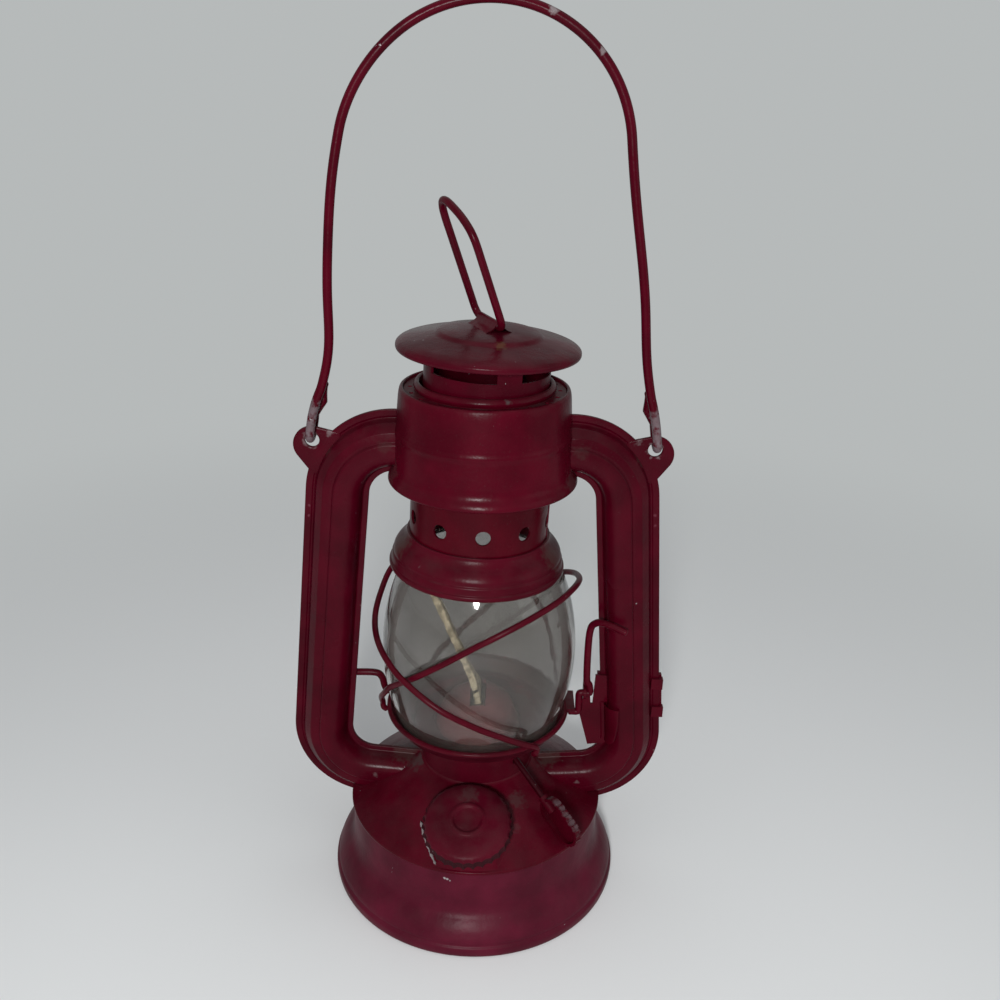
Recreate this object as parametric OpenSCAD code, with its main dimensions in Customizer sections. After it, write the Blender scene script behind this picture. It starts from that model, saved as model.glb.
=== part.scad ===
// Small tubular hurricane lantern in pressed sheet steel.
// Millimetres, +Z up, origin at the middle of the foot on the ground, front towards -Y, side tubes along X.

/* [Fount] */
// Radius of the foot rim
foot_r = 50; // [48:0.5:56]
// Radius of the upright fount wall
fount_r = 43.2; // [41:0.2:46]
// Height of the seam between the wall and the shoulder
seam_h = 29.5; // [26:0.5:34]
// Slope of the conical shoulder, in degrees
shoulder_slope = 31; // [27:0.5:34]
// Sheet thickness of the fount
fount_sheet = 0.9; // [0.6:0.1:1.2]
// Height at which the wall starts to flare into the foot
flare_h = 15.5; // [12:0.5:20]
// Height of the foot rim
rim_h = 3; // [2:0.2:4]
// Height of the fount floor above the ground
floor_h = 6; // [5:0.5:9]

/* [Filler] */
// Direction of the filler round the fount, in degrees from +X
filler_az = -93; // [-100:1:-80]
// Distance of the filler from the lantern's axis, measured level
filler_reach = 33.4; // [33:0.1:34]
// Lean of the filler towards the front, in degrees
filler_lean = 20; // [16:1:24]
// Outer radius of the filler neck
filler_neck_r = 9.6; // [8.6:0.2:9.8]
// Height of the filler neck above the cap's seat
filler_neck_h = 4; // [3:0.2:6]
// Outer radius of the filler cap
filler_cap_r = 15; // [14:0.1:15.4]
// Number of crimps round the filler cap
filler_crimps = 30; // [18:1:40]
// Thickness of the filler gasket
gasket_t = 0.8; // [0.5:0.1:1.4]

/* [Burner] */
// Outer radius of the burner collar
collar_r = 19.1; // [18.4:0.1:19.6]
// Height of the burner collar above the shoulder
collar_h = 12; // [11:0.2:14]
// Radius of the burner dome
dome_r = 14.4; // [13.2:0.2:14.8]
// Height of the burner dome
dome_h = 14; // [12:0.5:17]
// Width of the flat wick
wick_w = 10.6; // [8:0.2:12]
// Thickness of the flat wick
wick_t = 2.4; // [1.8:0.1:3]
// Length of wick that stands out of the burner
wick_out = 42; // [20:1:44]
// Lean of the raised wick to the left, in degrees
wick_lean = 23; // [0:1:24]
// Direction of the wick spindle round the lantern, in degrees from +X
key_az = -45; // [-48:1:-40]
// Distance between the spindle and the shoulder below it
key_clear = 5.8; // [5.6:0.1:6.4]
// Length of the wick key
key_l = 17.5; // [14:0.5:19]
// Width of the wick key
key_w = 10; // [8:0.2:10.4]

/* [Globe] */
// Radius of the globe plate's rim
plate_r = 31.1; // [30:0.1:33]
// How far the glass globe swells out past the plate's rim
globe_swell = 1.1; // [0.6:0.1:1.6]
// Radius of the globe's upper mouth
globe_mouth_r = 24.3; // [23.6:0.1:24.8]
// Height of the globe
globe_h = 60.4; // [57:0.2:61]
// Height of the globe's widest place above its foot
globe_wide_h = 27.4; // [24:0.2:30]
// Thickness of the glass
glass_t = 1.8; // [1.2:0.1:2.4]
// Depth of the globe plate
plate_h = 8; // [7:0.2:9]
// Wire of the globe guard
guard_d = 2; // [1.6:0.1:2.4]

/* [Globe lift] */
// Height that the lever lifts the globe by
lift_h = 7.5; // [6:0.25:8]
// Wire of the lift lever
lever_d = 2.2; // [1.8:0.1:2.4]
// Height of the lever's handle above its pivot
lever_h = 29; // [22:0.5:34]

/* [Side tubes] */
// Width of a tube over both seam flanges
tube_w = 20; // [18.5:0.2:20.6]
// Depth of one tube half, from the seam to its crown
tube_depth = 7; // [5.5:0.2:7.6]
// Width of the seam flange on the globe's side
flange_in = 2.2; // [1.6:0.1:3]
// Width of the seam flange on the outer side
flange_out = 3; // [2.2:0.1:3.6]
// Sheet thickness of the tubes
tube_sheet = 0.7; // [0.5:0.05:0.9]
// Lean of the tube's leg, in degrees: its foot stands further out than its head
tube_lean = 4.9; // [4.3:0.1:5.3]
// Radius of the tube's bend at the top
top_bend_r = 18.5; // [17:0.25:20]
// Radius of the tube's bend at the bottom
low_bend_r = 18; // [16.5:0.25:19]

/* [Crown and chimney] */
// Height of the crown's lower rim above the ground
crown_h = 147.7; // [145:0.5:152]
// Height of the crown drum
drum_h = 29.8; // [28.5:0.2:33]
// Radius of the crown's lower rim
drum_r = 29.7; // [29:0.1:31]
// Radius of the crown at its top edge
drum_top_r = 26.3; // [25.6:0.1:27]
// Outer radius of the chimney tube
chimney_r = 22; // [21:0.1:22.4]
// Outer radius of the chimney's neck above the crown
neck_r = 19.2; // [18.4:0.1:19.6]
// Radius of the hood's rim over the globe
hood_r = 28.3; // [27.6:0.1:29]
// Number of air holes round the chimney tube
air_holes = 10; // [6:1:12]
// Radius of the top cap
cap_r = 27.8; // [26:0.2:29]
// Height of the top cap's rim above the crown
cap_gap = 11; // [9:0.2:14]
// Height of the top cap's dome
cap_dome = 7; // [6:0.2:9]
// Tilt of the chimney to the right, in degrees, as it stands on the globe
chimney_tilt = 1.8; // [0:0.1:2]
// Sheet thickness of the crown and chimney
crown_sheet = 0.8; // [0.6:0.1:1]

/* [Handles] */
// Wire of the bail
bail_d = 2.8; // [2.2:0.1:3]
// Radius of the bail's arch
bail_arch_r = 40; // [36:0.5:44]
// Lean of the bail's legs inwards, in degrees
bail_lean = 8.9; // [8:0.1:11]
// Wire of the lift loop on the cap
loop_d = 2.3; // [1.8:0.1:2.6]
// Height of the lift loop
loop_h = 37; // [28:0.5:44]
// Width of the lift loop
loop_w = 20; // [17:0.5:22]
// Direction of the lift loop's pivot, in degrees from +X
loop_az = -66; // [-90:1:-40]
// Lean of the lift loop to the left at rest, in degrees
loop_lean = 22; // [0:1:40]

/* [Hidden] */
$fn = 64;

// Gaps between pieces that are soldered or seated, between pieces that slide past, and in a running fit
seat_gap = 0.05;
slide_gap = 0.35;
run_gap = 0.05;
// How far a cutting shape runs past what it cuts
over = 5;

// Fount, from the ground up
seam_lip = 0.5;
seam_t = 1;
shoulder_r = fount_r + seam_lip;
foot_wall_r = foot_r - 0.4;
flare_low = rim_h + 1.5;
flare_steps = 10;
cone_rise = tan(shoulder_slope);
collar_foot = cone_z(collar_r);
collar_top = collar_foot + collar_h;
collar_sheet = 0.8;
collar_sink = 3;

// Filler, along its own leaning axis; the cap's rear edge just clears the shoulder
filler_sheet = 0.8;
filler_bore = filler_neck_r - filler_sheet;
filler_sink = 5.5;
cap_lift_gap = 1;
cap_rear_r = filler_reach - filler_cap_r * cos(filler_lean) + cap_lift_gap * sin(filler_lean);
filler_z = cone_z(cap_rear_r) + slide_gap - filler_cap_r * sin(filler_lean) - cap_lift_gap * cos(filler_lean);
cap_disc_t = 1;
crimp_r = 0.55;
cap_ring_r = 5.6;
cap_ring_t = 0.5;

// Burner
burner_flange_t = 0.7;
burner_cup_h = 9;
burner_sheet = 0.8;
wick_tube_t = 0.5;
wick_room = 0.5;
wick_low = 10;
dome_base = collar_top + burner_flange_t;
wick_tube_top = dome_base + dome_h - 3;
spindle_d = 2;
spindle_top = cone_z(0) + key_clear / cos(shoulder_slope);
star_r = 2.3;
star_w = 1.6;
star_teeth = 8;
// The star wheel lies on the wick's face, a hair off it
star_gap = 0.12;
star_skew = cos(shoulder_slope) * cos(key_az);
star_at = (wick_t / 2 + star_gap + star_r * sqrt(1 - pow(star_skew, 2))) / star_skew + star_w / 2;
spindle_in = star_at - star_w / 2 - 0.2;
key_rim_t = 1;
key_rim_w = 2.4;
key_web_t = 0.8;
key_notch_r = 0.35;
key_notch_pitch = 1.6;
// Distance along the level line from the axis to the key's middle
key_mid = 40.4;
key_hub_r = 1.7;
key_hub_l = 4;

// Globe plate and globe
plate_gap = 0.4;
plate_base = dome_base + plate_gap;
plate_sheet = 0.8;
plate_rim_z = plate_base + plate_h;
plate_bead_r = 1;
plate_hole_r = dome_r + 0.9;
seat_h = 2.4;
globe_base = plate_base + seat_h + plate_sheet;
globe_top = globe_base + globe_h;
globe_wide = globe_base + globe_wide_h;
globe_r = plate_r + globe_swell;
globe_drop = globe_r - globe_mouth_r;
globe_curve = (pow(globe_h - globe_wide_h, 2) + pow(globe_drop, 2)) / (2 * globe_drop);
globe_seat_r = globe_at(globe_base);

// Lift lever: a crank that hangs below its pivot at rest and stands level when the globe is up
lever_x = plate_r + 3.3;
lever_y = -3.3;
ledge_t = 1;
ledge_gap = 0.05;
lever_z = plate_rim_z - 1.5 * ledge_gap - lever_d / 2 + lift_h;
ledge_reach = 2;
eye_t = 1;
eye_x = lever_x + lever_d / 2 + 0.2;
handle_x = eye_x + eye_t + 0.2 + lever_d / 2;
eye_r = lever_d / 2 + 1;

// Tube path: a short head in the crown, a square bend, a leaning leg, a square bend and a tail to the collar
tube_room = 3.7;
tube_top_z = crown_h + 11.6;
top_bend_x = plate_r - tube_room;
head_l = max(0.2, top_bend_x + 2.8 - drum_r);
low_bend_z = 53.6;
tail_l = top_bend_x + 8.7 - collar_r;
leg_l = round(100 * (tube_top_z - top_bend_r - low_bend_z + (top_bend_r - low_bend_r) * sin(tube_lean))
  / cos(tube_lean)) / 100;
leg_top_x = top_bend_x + top_bend_r * cos(tube_lean);
leg_top_z = tube_top_z - top_bend_r + top_bend_r * sin(tube_lean);
bulge_in = -tube_w / 2 + flange_in;
bulge_out = tube_w / 2 - flange_out;
bulge_mid = (bulge_in + bulge_out) / 2;
bulge_half = (bulge_out - bulge_in) / 2;
// Angles round the pressed face; the step from 112 to 158 is the flat strip beside the crease
bulge_angles = [0, 14, 28, 42, 56, 70, 84, 98, 112, 158, 180];

// Ears on the outer flange, above the top bend: round lugs with a small hole near the top edge
ear_hole_r = 2.3;
ear_bar = 2.1;
ear_r = 6;
ear_web = 1.8 * ear_r;
ear_turn = 24;
ear_x = top_bend_x + (top_bend_r + tube_w / 2) * cos(ear_turn) - 0.3;
ear_z = tube_top_z - top_bend_r + (top_bend_r + tube_w / 2) * sin(ear_turn) + 4.65;
ear_hole_z = ear_z + ear_r - ear_bar - ear_hole_r;

// Crown and chimney
tilt_room = 0.8;
drum_top = crown_h + drum_h;
drum_lip_h = 5;
drum_edge_r = 1.6;
drum_bead = 0.4;
drum_bead_z = crown_h + 15.6;
crown_plate_t = 0.7;
crown_plate_z = drum_top - 1.6;
crown_hole_r = neck_r + tilt_room;
crown_rim_h = 3.2;
crown_rim_t = 1;
vent_r = 0.7;
vent_count = 20;
crown_floor_z = crown_h + 0.3;
// The tilted chimney meets the globe on its right side first
chimney_foot = globe_top + globe_at(globe_top) * sin(chimney_tilt) + 0.15;
tilt_z = crown_h + 17;
chimney_sheet = 0.7;
chimney_step = crown_h + 2.4;
seat_flange_r = globe_at(globe_top) + 1.2;
air_hole_r = 2.3;
hood_rim_z = globe_top - 2.8;
hood_edge_z = hood_rim_z + 9.4;
hood_top = hood_edge_z + 2.6;
// The air holes lie on the bare part of the tube, nearer to the hood than to the crown
air_hole_z = hood_top + 0.32 * (chimney_step - hood_top);
cap_z = drum_top + cap_gap;
cap_ridge_r = 14;
neck_top = cap_face(neck_r) - crown_sheet / cos(20) - seat_gap;
window_h = 4.2;
window_z = drum_top + 5.8;
window_posts = 4;
post_w = 7.6;
post_az = -69;
spring_d = 1;
spring_turns = 5;
spring_r = (neck_r + chimney_r) / 2;
spring_low = chimney_step + chimney_sheet + spring_d / 2 + seat_gap;
spring_high = crown_plate_z - spring_d / 2 - spring_r * sin(chimney_tilt) - 0.1;

// Top cap and its loop
tunnel_wall = 0.85;
tunnel_l = 14;
cap_top = cap_z + cap_dome;
loop_z = cap_top + loop_d / 2 + run_gap + 0.35;
loop_bend_r = 3;
loop_top_r = 6.5;

// Bail: eyes round the bars over the ear holes, straight legs tangent to the arch
bar_z = ear_hole_z + ear_hole_r + ear_bar / 2;
eye_bend_r = 2.9;
bail_leg_l = (ear_x - bail_arch_r * cos(bail_lean)) / sin(bail_lean);
arch_z = bar_z + bail_leg_l * cos(bail_lean) - bail_arch_r * sin(bail_lean);
// The legs run a little way into the arch, a hair thinner than it
leg_tuck = 0.3;
leg_thin = 0.01;
eye_tail_l = 15;

// Height of the shoulder's outer face at a distance from the axis
function cone_z(r) = seam_h + (shoulder_r - r) * cone_rise;

// Outer radius of the glass at a height: an arc of radius globe_curve about its widest height
function globe_at(z) = globe_r - globe_curve + sqrt(pow(globe_curve, 2) - pow(z - globe_wide, 2));

// A point from its distance to the axis, its direction and its height
function polar(r, az, z) = [r * cos(az), r * sin(az), z];

// Smooth curve through a list of points, each stretch cut into steps
function curve_point(p, i, t) =
  let (a = p[max(i - 1, 0)], b = p[i], c = p[i + 1], d = p[min(i + 2, len(p) - 1)])
    0.5 * (2 * b + (c - a) * t + (2 * a - 5 * b + 4 * c - d) * t * t + (3 * b - a - 3 * c + d) * t * t * t);
function smooth(p, steps) =
  concat([for (i = [0 : len(p) - 2], s = [0 : steps - 1]) curve_point(p, i, s / steps)], [p[len(p) - 1]]);

// Directions across a wire at each of its points, turned as little as possible from one to the next
function unit(v) = v / norm(v);
function heading(p, i) = unit(p[min(i + 1, len(p) - 1)] - p[max(i - 1, 0)]);
function across(p, i) =
  let (d = heading(p, i), last = i == 0 ? (abs(d.z) < 0.9 ? [0, 0, 1] : [1, 0, 0]) : across(p, i - 1))
    unit(last - d * (last * d));

// Wire of round section swept along points
module wire(p, d, sides = 8) {
  rings = [for (i = [0 : len(p) - 1])
    let (u = across(p, i), v = cross(heading(p, i), u))
      for (k = [0 : sides - 1]) p[i] + d / 2 * (cos(360 * k / sides) * u + sin(360 * k / sides) * v)];
  last = len(p) - 1;
  side_faces = [for (i = [0 : last - 1]) for (k = [0 : sides - 1])
    let (a = i * sides + k, b = i * sides + (k + 1) % sides)
      each [[a, a + sides, b], [b, a + sides, b + sides]]];
  start_face = [[for (k = [0 : sides - 1]) k]];
  end_face = [[for (k = [sides - 1 : -1 : 0]) last * sides + k]];
  polyhedron(rings, concat(side_faces, start_face, end_face));
}

// A sheet of revolution between an outer and an inner outline, both listed from the same end
module turned(outer, inner) {
  rotate_extrude() polygon(concat(outer, [for (i = [len(inner) - 1 : -1 : 0]) inner[i]]));
}

module ring(r_out, r_in, z, h) {
  translate([0, 0, z]) difference() {
    cylinder(h = h, r = r_out);
    translate([0, 0, -over]) cylinder(h = h + 2 * over, r = r_in);
  }
}

// Fount

// Outline of the wall: upright, then flaring to the foot along half a cosine wave
function wall_r(z) =
  z >= flare_h ? fount_r
    : fount_r + (foot_wall_r - fount_r) * (1 - cos(180 * min(1, (flare_h - z) / (flare_h - flare_low)))) / 2;

module fount_shell() {
  heights = [for (i = [0 : flare_steps]) flare_h + (flare_low - flare_h) * i / flare_steps];
  top = seam_h - seam_t;
  outer = concat([[fount_r, top]], [for (z = heights) [wall_r(z), z]],
    [[foot_wall_r, rim_h + 0.5], [foot_r, rim_h], [foot_r, 0.6], [foot_r - 0.6, 0]]);
  inner = concat([[fount_r - fount_sheet, top]], [for (z = heights) [wall_r(z) - fount_sheet, z]],
    [[foot_wall_r - fount_sheet, 0]]);
  color([0.32, 0.03, 0.1]) turned(outer, inner);
}

module fount_floor() {
  r = wall_r(floor_h + fount_sheet) - fount_sheet - seat_gap;
  color([0.3, 0.03, 0.09]) translate([0, 0, floor_h]) cylinder(h = fount_sheet, r = r);
}

// Place things on the filler with +Z along its axis
module on_filler() {
  translate(polar(filler_reach, filler_az, filler_z))
    rotate([0, 0, filler_az]) rotate([0, filler_lean, 0]) children();
}

module fount_shoulder() {
  drop = fount_sheet / cos(shoulder_slope);
  hole_r = collar_r + seat_gap;
  outer = [[hole_r, cone_z(hole_r)], [shoulder_r, seam_h], [shoulder_r, seam_h - seam_t]];
  inner = [[hole_r, cone_z(hole_r) - drop], [fount_r - 2.2, cone_z(fount_r - 2.2) - drop],
    [fount_r - 2.2, seam_h - seam_t]];
  color([0.3, 0.01, 0.08]) difference() {
    turned(outer, inner);
    on_filler() translate([0, 0, -2 * over]) cylinder(h = 3 * over, r = filler_neck_r + seat_gap);
  }
}

module filler_neck() {
  color([0.36, 0.03, 0.12]) on_filler() difference() {
    translate([0, 0, -filler_sink]) cylinder(h = filler_sink + filler_neck_h, r = filler_neck_r);
    translate([0, 0, -2 * over]) cylinder(h = 3 * over + filler_neck_h, r = filler_bore);
  }
}

module filler_gasket() {
  color([0.08, 0.08, 0.08]) on_filler()
    ring(filler_neck_r, filler_bore, filler_neck_h + seat_gap, gasket_t);
}

// Domed cap with a crimped skirt and, inside it, the sleeve that screws on the neck
module filler_cap() {
  under = filler_neck_h + gasket_t + 2 * seat_gap;
  top = under + cap_disc_t;
  sleeve_r = filler_neck_r + slide_gap;
  outer = [[0, top + cap_ring_t], [cap_ring_r - 0.4, top + cap_ring_t], [cap_ring_r, top],
    [filler_cap_r - 4, top - 0.1], [filler_cap_r - 2, top - 0.7], [filler_cap_r - 0.9, top - 1.6],
    [filler_cap_r - 0.4, top - 2.6], [filler_cap_r, cap_lift_gap + 0.6], [filler_cap_r, cap_lift_gap]];
  inner = [[0, under], [sleeve_r, under], [sleeve_r, cap_lift_gap], [sleeve_r + 0.8, cap_lift_gap],
    [sleeve_r + 0.8, under], [filler_cap_r - 2.7, top - 1.5], [filler_cap_r - 1.7, top - 2.4],
    [filler_cap_r - 1, cap_lift_gap + 0.6], [filler_cap_r - 1, cap_lift_gap]];
  color([0.34, 0.02, 0.1]) on_filler() difference() {
    turned(outer, inner);
    translate([0, 0, top]) cylinder(h = over, r = cap_ring_r - 1.2);
    for (i = [0 : filler_crimps - 1])
      rotate([0, 0, 360 * i / filler_crimps]) translate([filler_cap_r + crimp_r / 3, 0, cap_lift_gap - over])
        cylinder(h = over + top - cap_lift_gap - 1.9, r = crimp_r, $fn = 24);
  }
}

// Burner

// Turn things so that +X runs outwards along the wick spindle
module on_spindle() {
  translate([0, 0, spindle_top]) rotate([0, 0, key_az]) rotate([0, shoulder_slope, 0]) children();
}

module spindle_hole(gap) {
  on_spindle() rotate([0, 90, 0]) cylinder(h = foot_r, r = spindle_d / 2 + gap);
}

module burner_collar() {
  color([0.28, 0.02, 0.08]) difference() {
    ring(collar_r, collar_r - collar_sheet, collar_foot - collar_sink, collar_h + collar_sink);
    spindle_hole(slide_gap);
  }
}

// Level box round the wick, grown by a gap
module wick_box(gap, low, high) {
  translate([-wick_t / 2 - gap, -wick_w / 2 - gap, low])
    cube([wick_t + 2 * gap, wick_w + 2 * gap, high - low]);
}

module burner_base() {
  cup_r = collar_r - collar_sheet - seat_gap;
  cup_z = collar_top - burner_cup_h;
  color([0.3, 0.03, 0.09]) difference() {
    union() {
      ring(collar_r - 0.2, plate_hole_r - 3, collar_top, burner_flange_t);
      ring(cup_r, cup_r - burner_sheet, cup_z, burner_cup_h);
      translate([0, 0, cup_z]) cylinder(h = burner_sheet, r = cup_r);
    }
    wick_box(wick_room + wick_tube_t + seat_gap, cup_z - over, collar_top + over);
    spindle_hole(run_gap);
  }
}

module wick_tube() {
  low = collar_top - burner_cup_h - 4;
  color([0.62, 0.5, 0.28]) difference() {
    wick_box(wick_room + wick_tube_t, low, wick_tube_top);
    wick_box(wick_room, low - over, wick_tube_top + over);
    on_spindle() translate([star_at - star_w / 2 - 0.6, 0, 0]) rotate([0, 90, 0])
      cylinder(h = star_w + 1.2, r = star_r + 0.6);
  }
}

module burner_dome() {
  steps = 8;
  slot = wick_t + 3;
  slot_l = wick_w + 5;
  angles = [for (i = [0 : steps]) 90 * i / steps];
  arch = function(r, h) [for (a = angles) [r * cos(a), dome_base + h * sin(a)]];
  outer = arch(dome_r, dome_h);
  inner = arch(dome_r - burner_sheet, dome_h - burner_sheet);
  color([0.4, 0.16, 0.14]) difference() {
    turned(outer, inner);
    translate([-slot / 2, -slot_l / 2, dome_base + dome_h / 3]) cube([slot, slot_l, dome_h + over]);
  }
}

module wick_spindle() {
  length = (key_mid - key_l / 2) / cos(shoulder_slope) + key_hub_l;
  color([0.55, 0.54, 0.52]) on_spindle() difference() {
    union() {
      translate([spindle_in, 0, 0]) rotate([0, 90, 0]) cylinder(h = length - spindle_in, r = spindle_d / 2);
      translate([star_at - star_w / 2, 0, 0]) rotate([0, 90, 0]) cylinder(h = star_w, r = star_r);
    }
    for (i = [0 : star_teeth - 1])
      rotate([360 * i / star_teeth, 0, 0]) translate([star_at - star_w, 0, star_r + 0.2])
        rotate([0, 90, 0]) cylinder(h = 2 * star_w, r = 0.8, $fn = 24);
  }
}

// Stadium of a given length and width, along X
module stadium(l, w) {
  translate([-(l - w) / 2, -w / 2]) square([l - w, w]);
  for (side = [-1, 1]) translate([side * (l - w) / 2, 0]) circle(d = w);
}

module wick_key() {
  straight = key_l - key_w;
  flats = floor(straight / key_notch_pitch);
  rounds = floor(PI * key_w / 2 / key_notch_pitch);
  color([0.4, 0.12, 0.18]) on_spindle() translate([key_mid / cos(shoulder_slope), 0, 0]) difference() {
    union() {
      rotate([90, 0, 0]) translate([0, 0, -key_rim_w / 2]) linear_extrude(key_rim_w) difference() {
        stadium(key_l, key_w);
        stadium(key_l - 2 * key_rim_t, key_w - 2 * key_rim_t);
      }
      rotate([90, 0, 0]) translate([0, 0, -key_rim_w / 2]) linear_extrude(key_web_t)
        stadium(key_l - key_rim_t, key_w - key_rim_t);
      translate([-key_l / 2 - 1, 0, 0]) rotate([0, 90, 0]) cylinder(h = key_hub_l + 2, r = key_hub_r);
    }
    translate([-key_l / 2 - over, 0, 0]) rotate([0, 90, 0])
      cylinder(h = over + key_hub_l + 1, r = spindle_d / 2 + 0.02);
    for (side = [-1, 1], i = [0 : flats])
      translate([-straight / 2 + straight * i / flats, 0, side * key_w / 2]) rotate([90, 0, 0])
        cylinder(h = 2 * key_rim_w, r = key_notch_r, center = true, $fn = 16);
    for (i = [1 : rounds - 1])
      translate([straight / 2, 0, 0]) rotate([0, 90 - 180 * i / rounds, 0]) translate([key_w / 2, 0, 0])
        rotate([90, 0, 0]) cylinder(h = 2 * key_rim_w, r = key_notch_r, center = true, $fn = 16);
  }
}

// Flat wick: upright in its tube, then bending over to the left
module wick() {
  bend_r = 10;
  bend_steps = 6;
  turn = function(i) wick_lean * i / bend_steps;
  edge = function(r) concat([[r, wick_low]],
    [for (i = [0 : bend_steps])
      [-bend_r + (bend_r + r) * cos(turn(i)), wick_tube_top + (bend_r + r) * sin(turn(i))]],
    [[-bend_r + (bend_r + r) * cos(wick_lean) - wick_out * sin(wick_lean),
      wick_tube_top + (bend_r + r) * sin(wick_lean) + wick_out * cos(wick_lean)]]);
  right = edge(wick_t / 2);
  left = edge(-wick_t / 2);
  color([0.82, 0.78, 0.64]) translate([0, wick_w / 2, 0]) rotate([90, 0, 0]) linear_extrude(wick_w)
    polygon(concat(right, [for (i = [len(left) - 1 : -1 : 0]) left[i]]));
}

// Side tubes

// Half of a tube, cut across: x runs from the globe's side outwards, y is the depth from the seam
module tube_section(shell, gap) {
  half_w = tube_w / 2 + gap;
  sheet = tube_sheet + gap;
  face = [for (a = bulge_angles)
    [bulge_mid - (bulge_half + gap) * cos(a), sheet + (tube_depth - tube_sheet) * sin(a)]];
  hollow = [for (a = bulge_angles)
    [bulge_mid - (bulge_half - tube_sheet) * cos(a), (tube_depth - tube_sheet) * sin(a)]];
  outline = concat([[-half_w, 0], [-half_w, sheet]], face, [[half_w, sheet], [half_w, 0]]);
  back = shell ? [for (i = [len(hollow) - 1 : -1 : 0]) hollow[i]] : [];
  polygon(concat(outline, back));
}

// Place things drawn along the right leg: x outwards, y up from the leg's head, z towards the front
module on_leg() {
  translate([leg_top_x, 0, leg_top_z]) rotate([90, 0, 0]) rotate([0, 0, tube_lean]) children();
}

// Stretches of the front half of the right tube
module tube_head(shell, gap) {
  on_leg() translate([-top_bend_r, 0, 0]) {
    rotate_extrude(angle = 90) translate([top_bend_r, 0]) tube_section(shell, gap);
    translate([-head_l, top_bend_r, 0]) rotate([0, 0, 90]) rotate([90, 0, 0]) linear_extrude(head_l)
      tube_section(shell, gap);
  }
}

module tube_leg(shell, gap, from, length) {
  on_leg() translate([0, -from, 0]) rotate([90, 0, 0]) linear_extrude(length) tube_section(shell, gap);
}

module tube_foot(shell, gap) {
  on_leg() translate([-low_bend_r, -leg_l, 0]) {
    rotate([0, 0, -90]) rotate_extrude(angle = 90) translate([low_bend_r, 0]) tube_section(shell, gap);
    translate([0, -low_bend_r, 0]) rotate([0, 0, -90]) rotate([90, 0, 0]) linear_extrude(tail_l)
      tube_section(shell, gap);
  }
}

// Space that the fount and its collar take, grown by a gap
module fount_space(gap) {
  cone_top = cone_z(0) - seam_h;
  cylinder(h = seam_h + gap, r = shoulder_r + gap);
  translate([0, 0, seam_h + gap]) cylinder(h = cone_top, r1 = shoulder_r + gap, r2 = gap);
  cylinder(h = collar_top + over, r = collar_r + gap);
}

module ear(t) {
  translate([ear_x, 0, ear_z]) {
    rotate([90, 0, 0]) cylinder(h = t, r = ear_r);
    rotate([0, 45, 0]) translate([-ear_web / 2, -t, -ear_r]) cube([ear_web, t, ear_r]);
  }
}

module tube_half() {
  difference() {
    union() {
      tube_head(true, 0);
      tube_leg(true, 0, 0, leg_l);
      tube_foot(true, 0);
      ear(tube_sheet);
    }
    fount_space(seat_gap);
    translate([ear_x, over, ear_hole_z]) rotate([90, 0, 0]) cylinder(h = 2 * over, r = ear_hole_r);
  }
}

module right_tube_front() { color([0.34, 0.02, 0.1]) tube_half(); }
module right_tube_rear() { color([0.3, 0.02, 0.09]) mirror([0, 1, 0]) tube_half(); }
module left_tube_front() { color([0.34, 0.02, 0.1]) mirror([1, 0, 0]) tube_half(); }
module left_tube_rear() { color([0.3, 0.02, 0.09]) mirror([1, 0, 0]) mirror([0, 1, 0]) tube_half(); }

// Crown

module crown_drum() {
  wall_top = drum_top - drum_edge_r;
  lip_top = crown_h + drum_lip_h;
  wall_low_r = drum_r - 1.9;
  s = crown_sheet;
  bead_r = wall_low_r + (drum_top_r - wall_low_r) * (drum_bead_z - lip_top) / (wall_top - lip_top);
  outer = concat([[drum_r - 0.5, crown_h], [drum_r, crown_h + 0.5], [drum_r - 0.1, crown_h + 1.4],
      [drum_r - 1.1, crown_h + 3], [wall_low_r, lip_top],
      [bead_r, drum_bead_z - 0.9], [bead_r + drum_bead, drum_bead_z], [bead_r, drum_bead_z + 0.9]],
    [for (a = [0 : 30 : 90]) [drum_top_r - drum_edge_r * (1 - cos(a)), wall_top + drum_edge_r * sin(a)]]);
  inner = [[drum_r - 0.5 - s, crown_h], [drum_r - 1.1 - s, crown_h + 3], [wall_low_r - s, lip_top],
    [drum_top_r - drum_edge_r, wall_top], [drum_top_r - drum_edge_r, drum_top]];
  color([0.3, 0.0, 0.07]) difference() {
    turned(outer, inner);
    for (side = [0, 1], half = [0, 1])
      mirror([side, 0, 0]) mirror([0, half, 0]) tube_head(false, 0.1);
  }
}

module crown_top() {
  edge_r = drum_top_r - drum_edge_r - seat_gap;
  vent_ring = (crown_hole_r + crown_rim_t + edge_r) / 2;
  color([0.36, 0.1, 0.12]) difference() {
    union() {
      ring(edge_r, crown_hole_r, crown_plate_z, crown_plate_t);
      ring(crown_hole_r + crown_rim_t, crown_hole_r, crown_plate_z, crown_rim_h);
    }
    for (i = [0 : vent_count - 1])
      rotate([0, 0, 360 * i / vent_count]) translate([vent_ring, 0, crown_plate_z - over])
        cylinder(h = 2 * over, r = vent_r, $fn = 24);
  }
}

module crown_floor() {
  color([0.24, 0.02, 0.07])
    ring(drum_r - 0.5 - crown_sheet - 0.4, chimney_r + tilt_room + 0.2, crown_floor_z, crown_plate_t);
}

module chimney_spring() {
  rings_a_turn = 12;
  steps = spring_turns * rings_a_turn;
  path = [for (i = [0 : steps])
    polar(spring_r, 360 * i / rings_a_turn, spring_low + (spring_high - spring_low) * i / steps)];
  color([0.6, 0.6, 0.6]) tilted() wire(path, spring_d, 6);
}

// Chimney

// The chimney and all that stands on it, tilted as one
module tilted() {
  translate([0, 0, tilt_z]) rotate([0, chimney_tilt, 0]) translate([0, 0, -tilt_z]) children();
}

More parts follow.
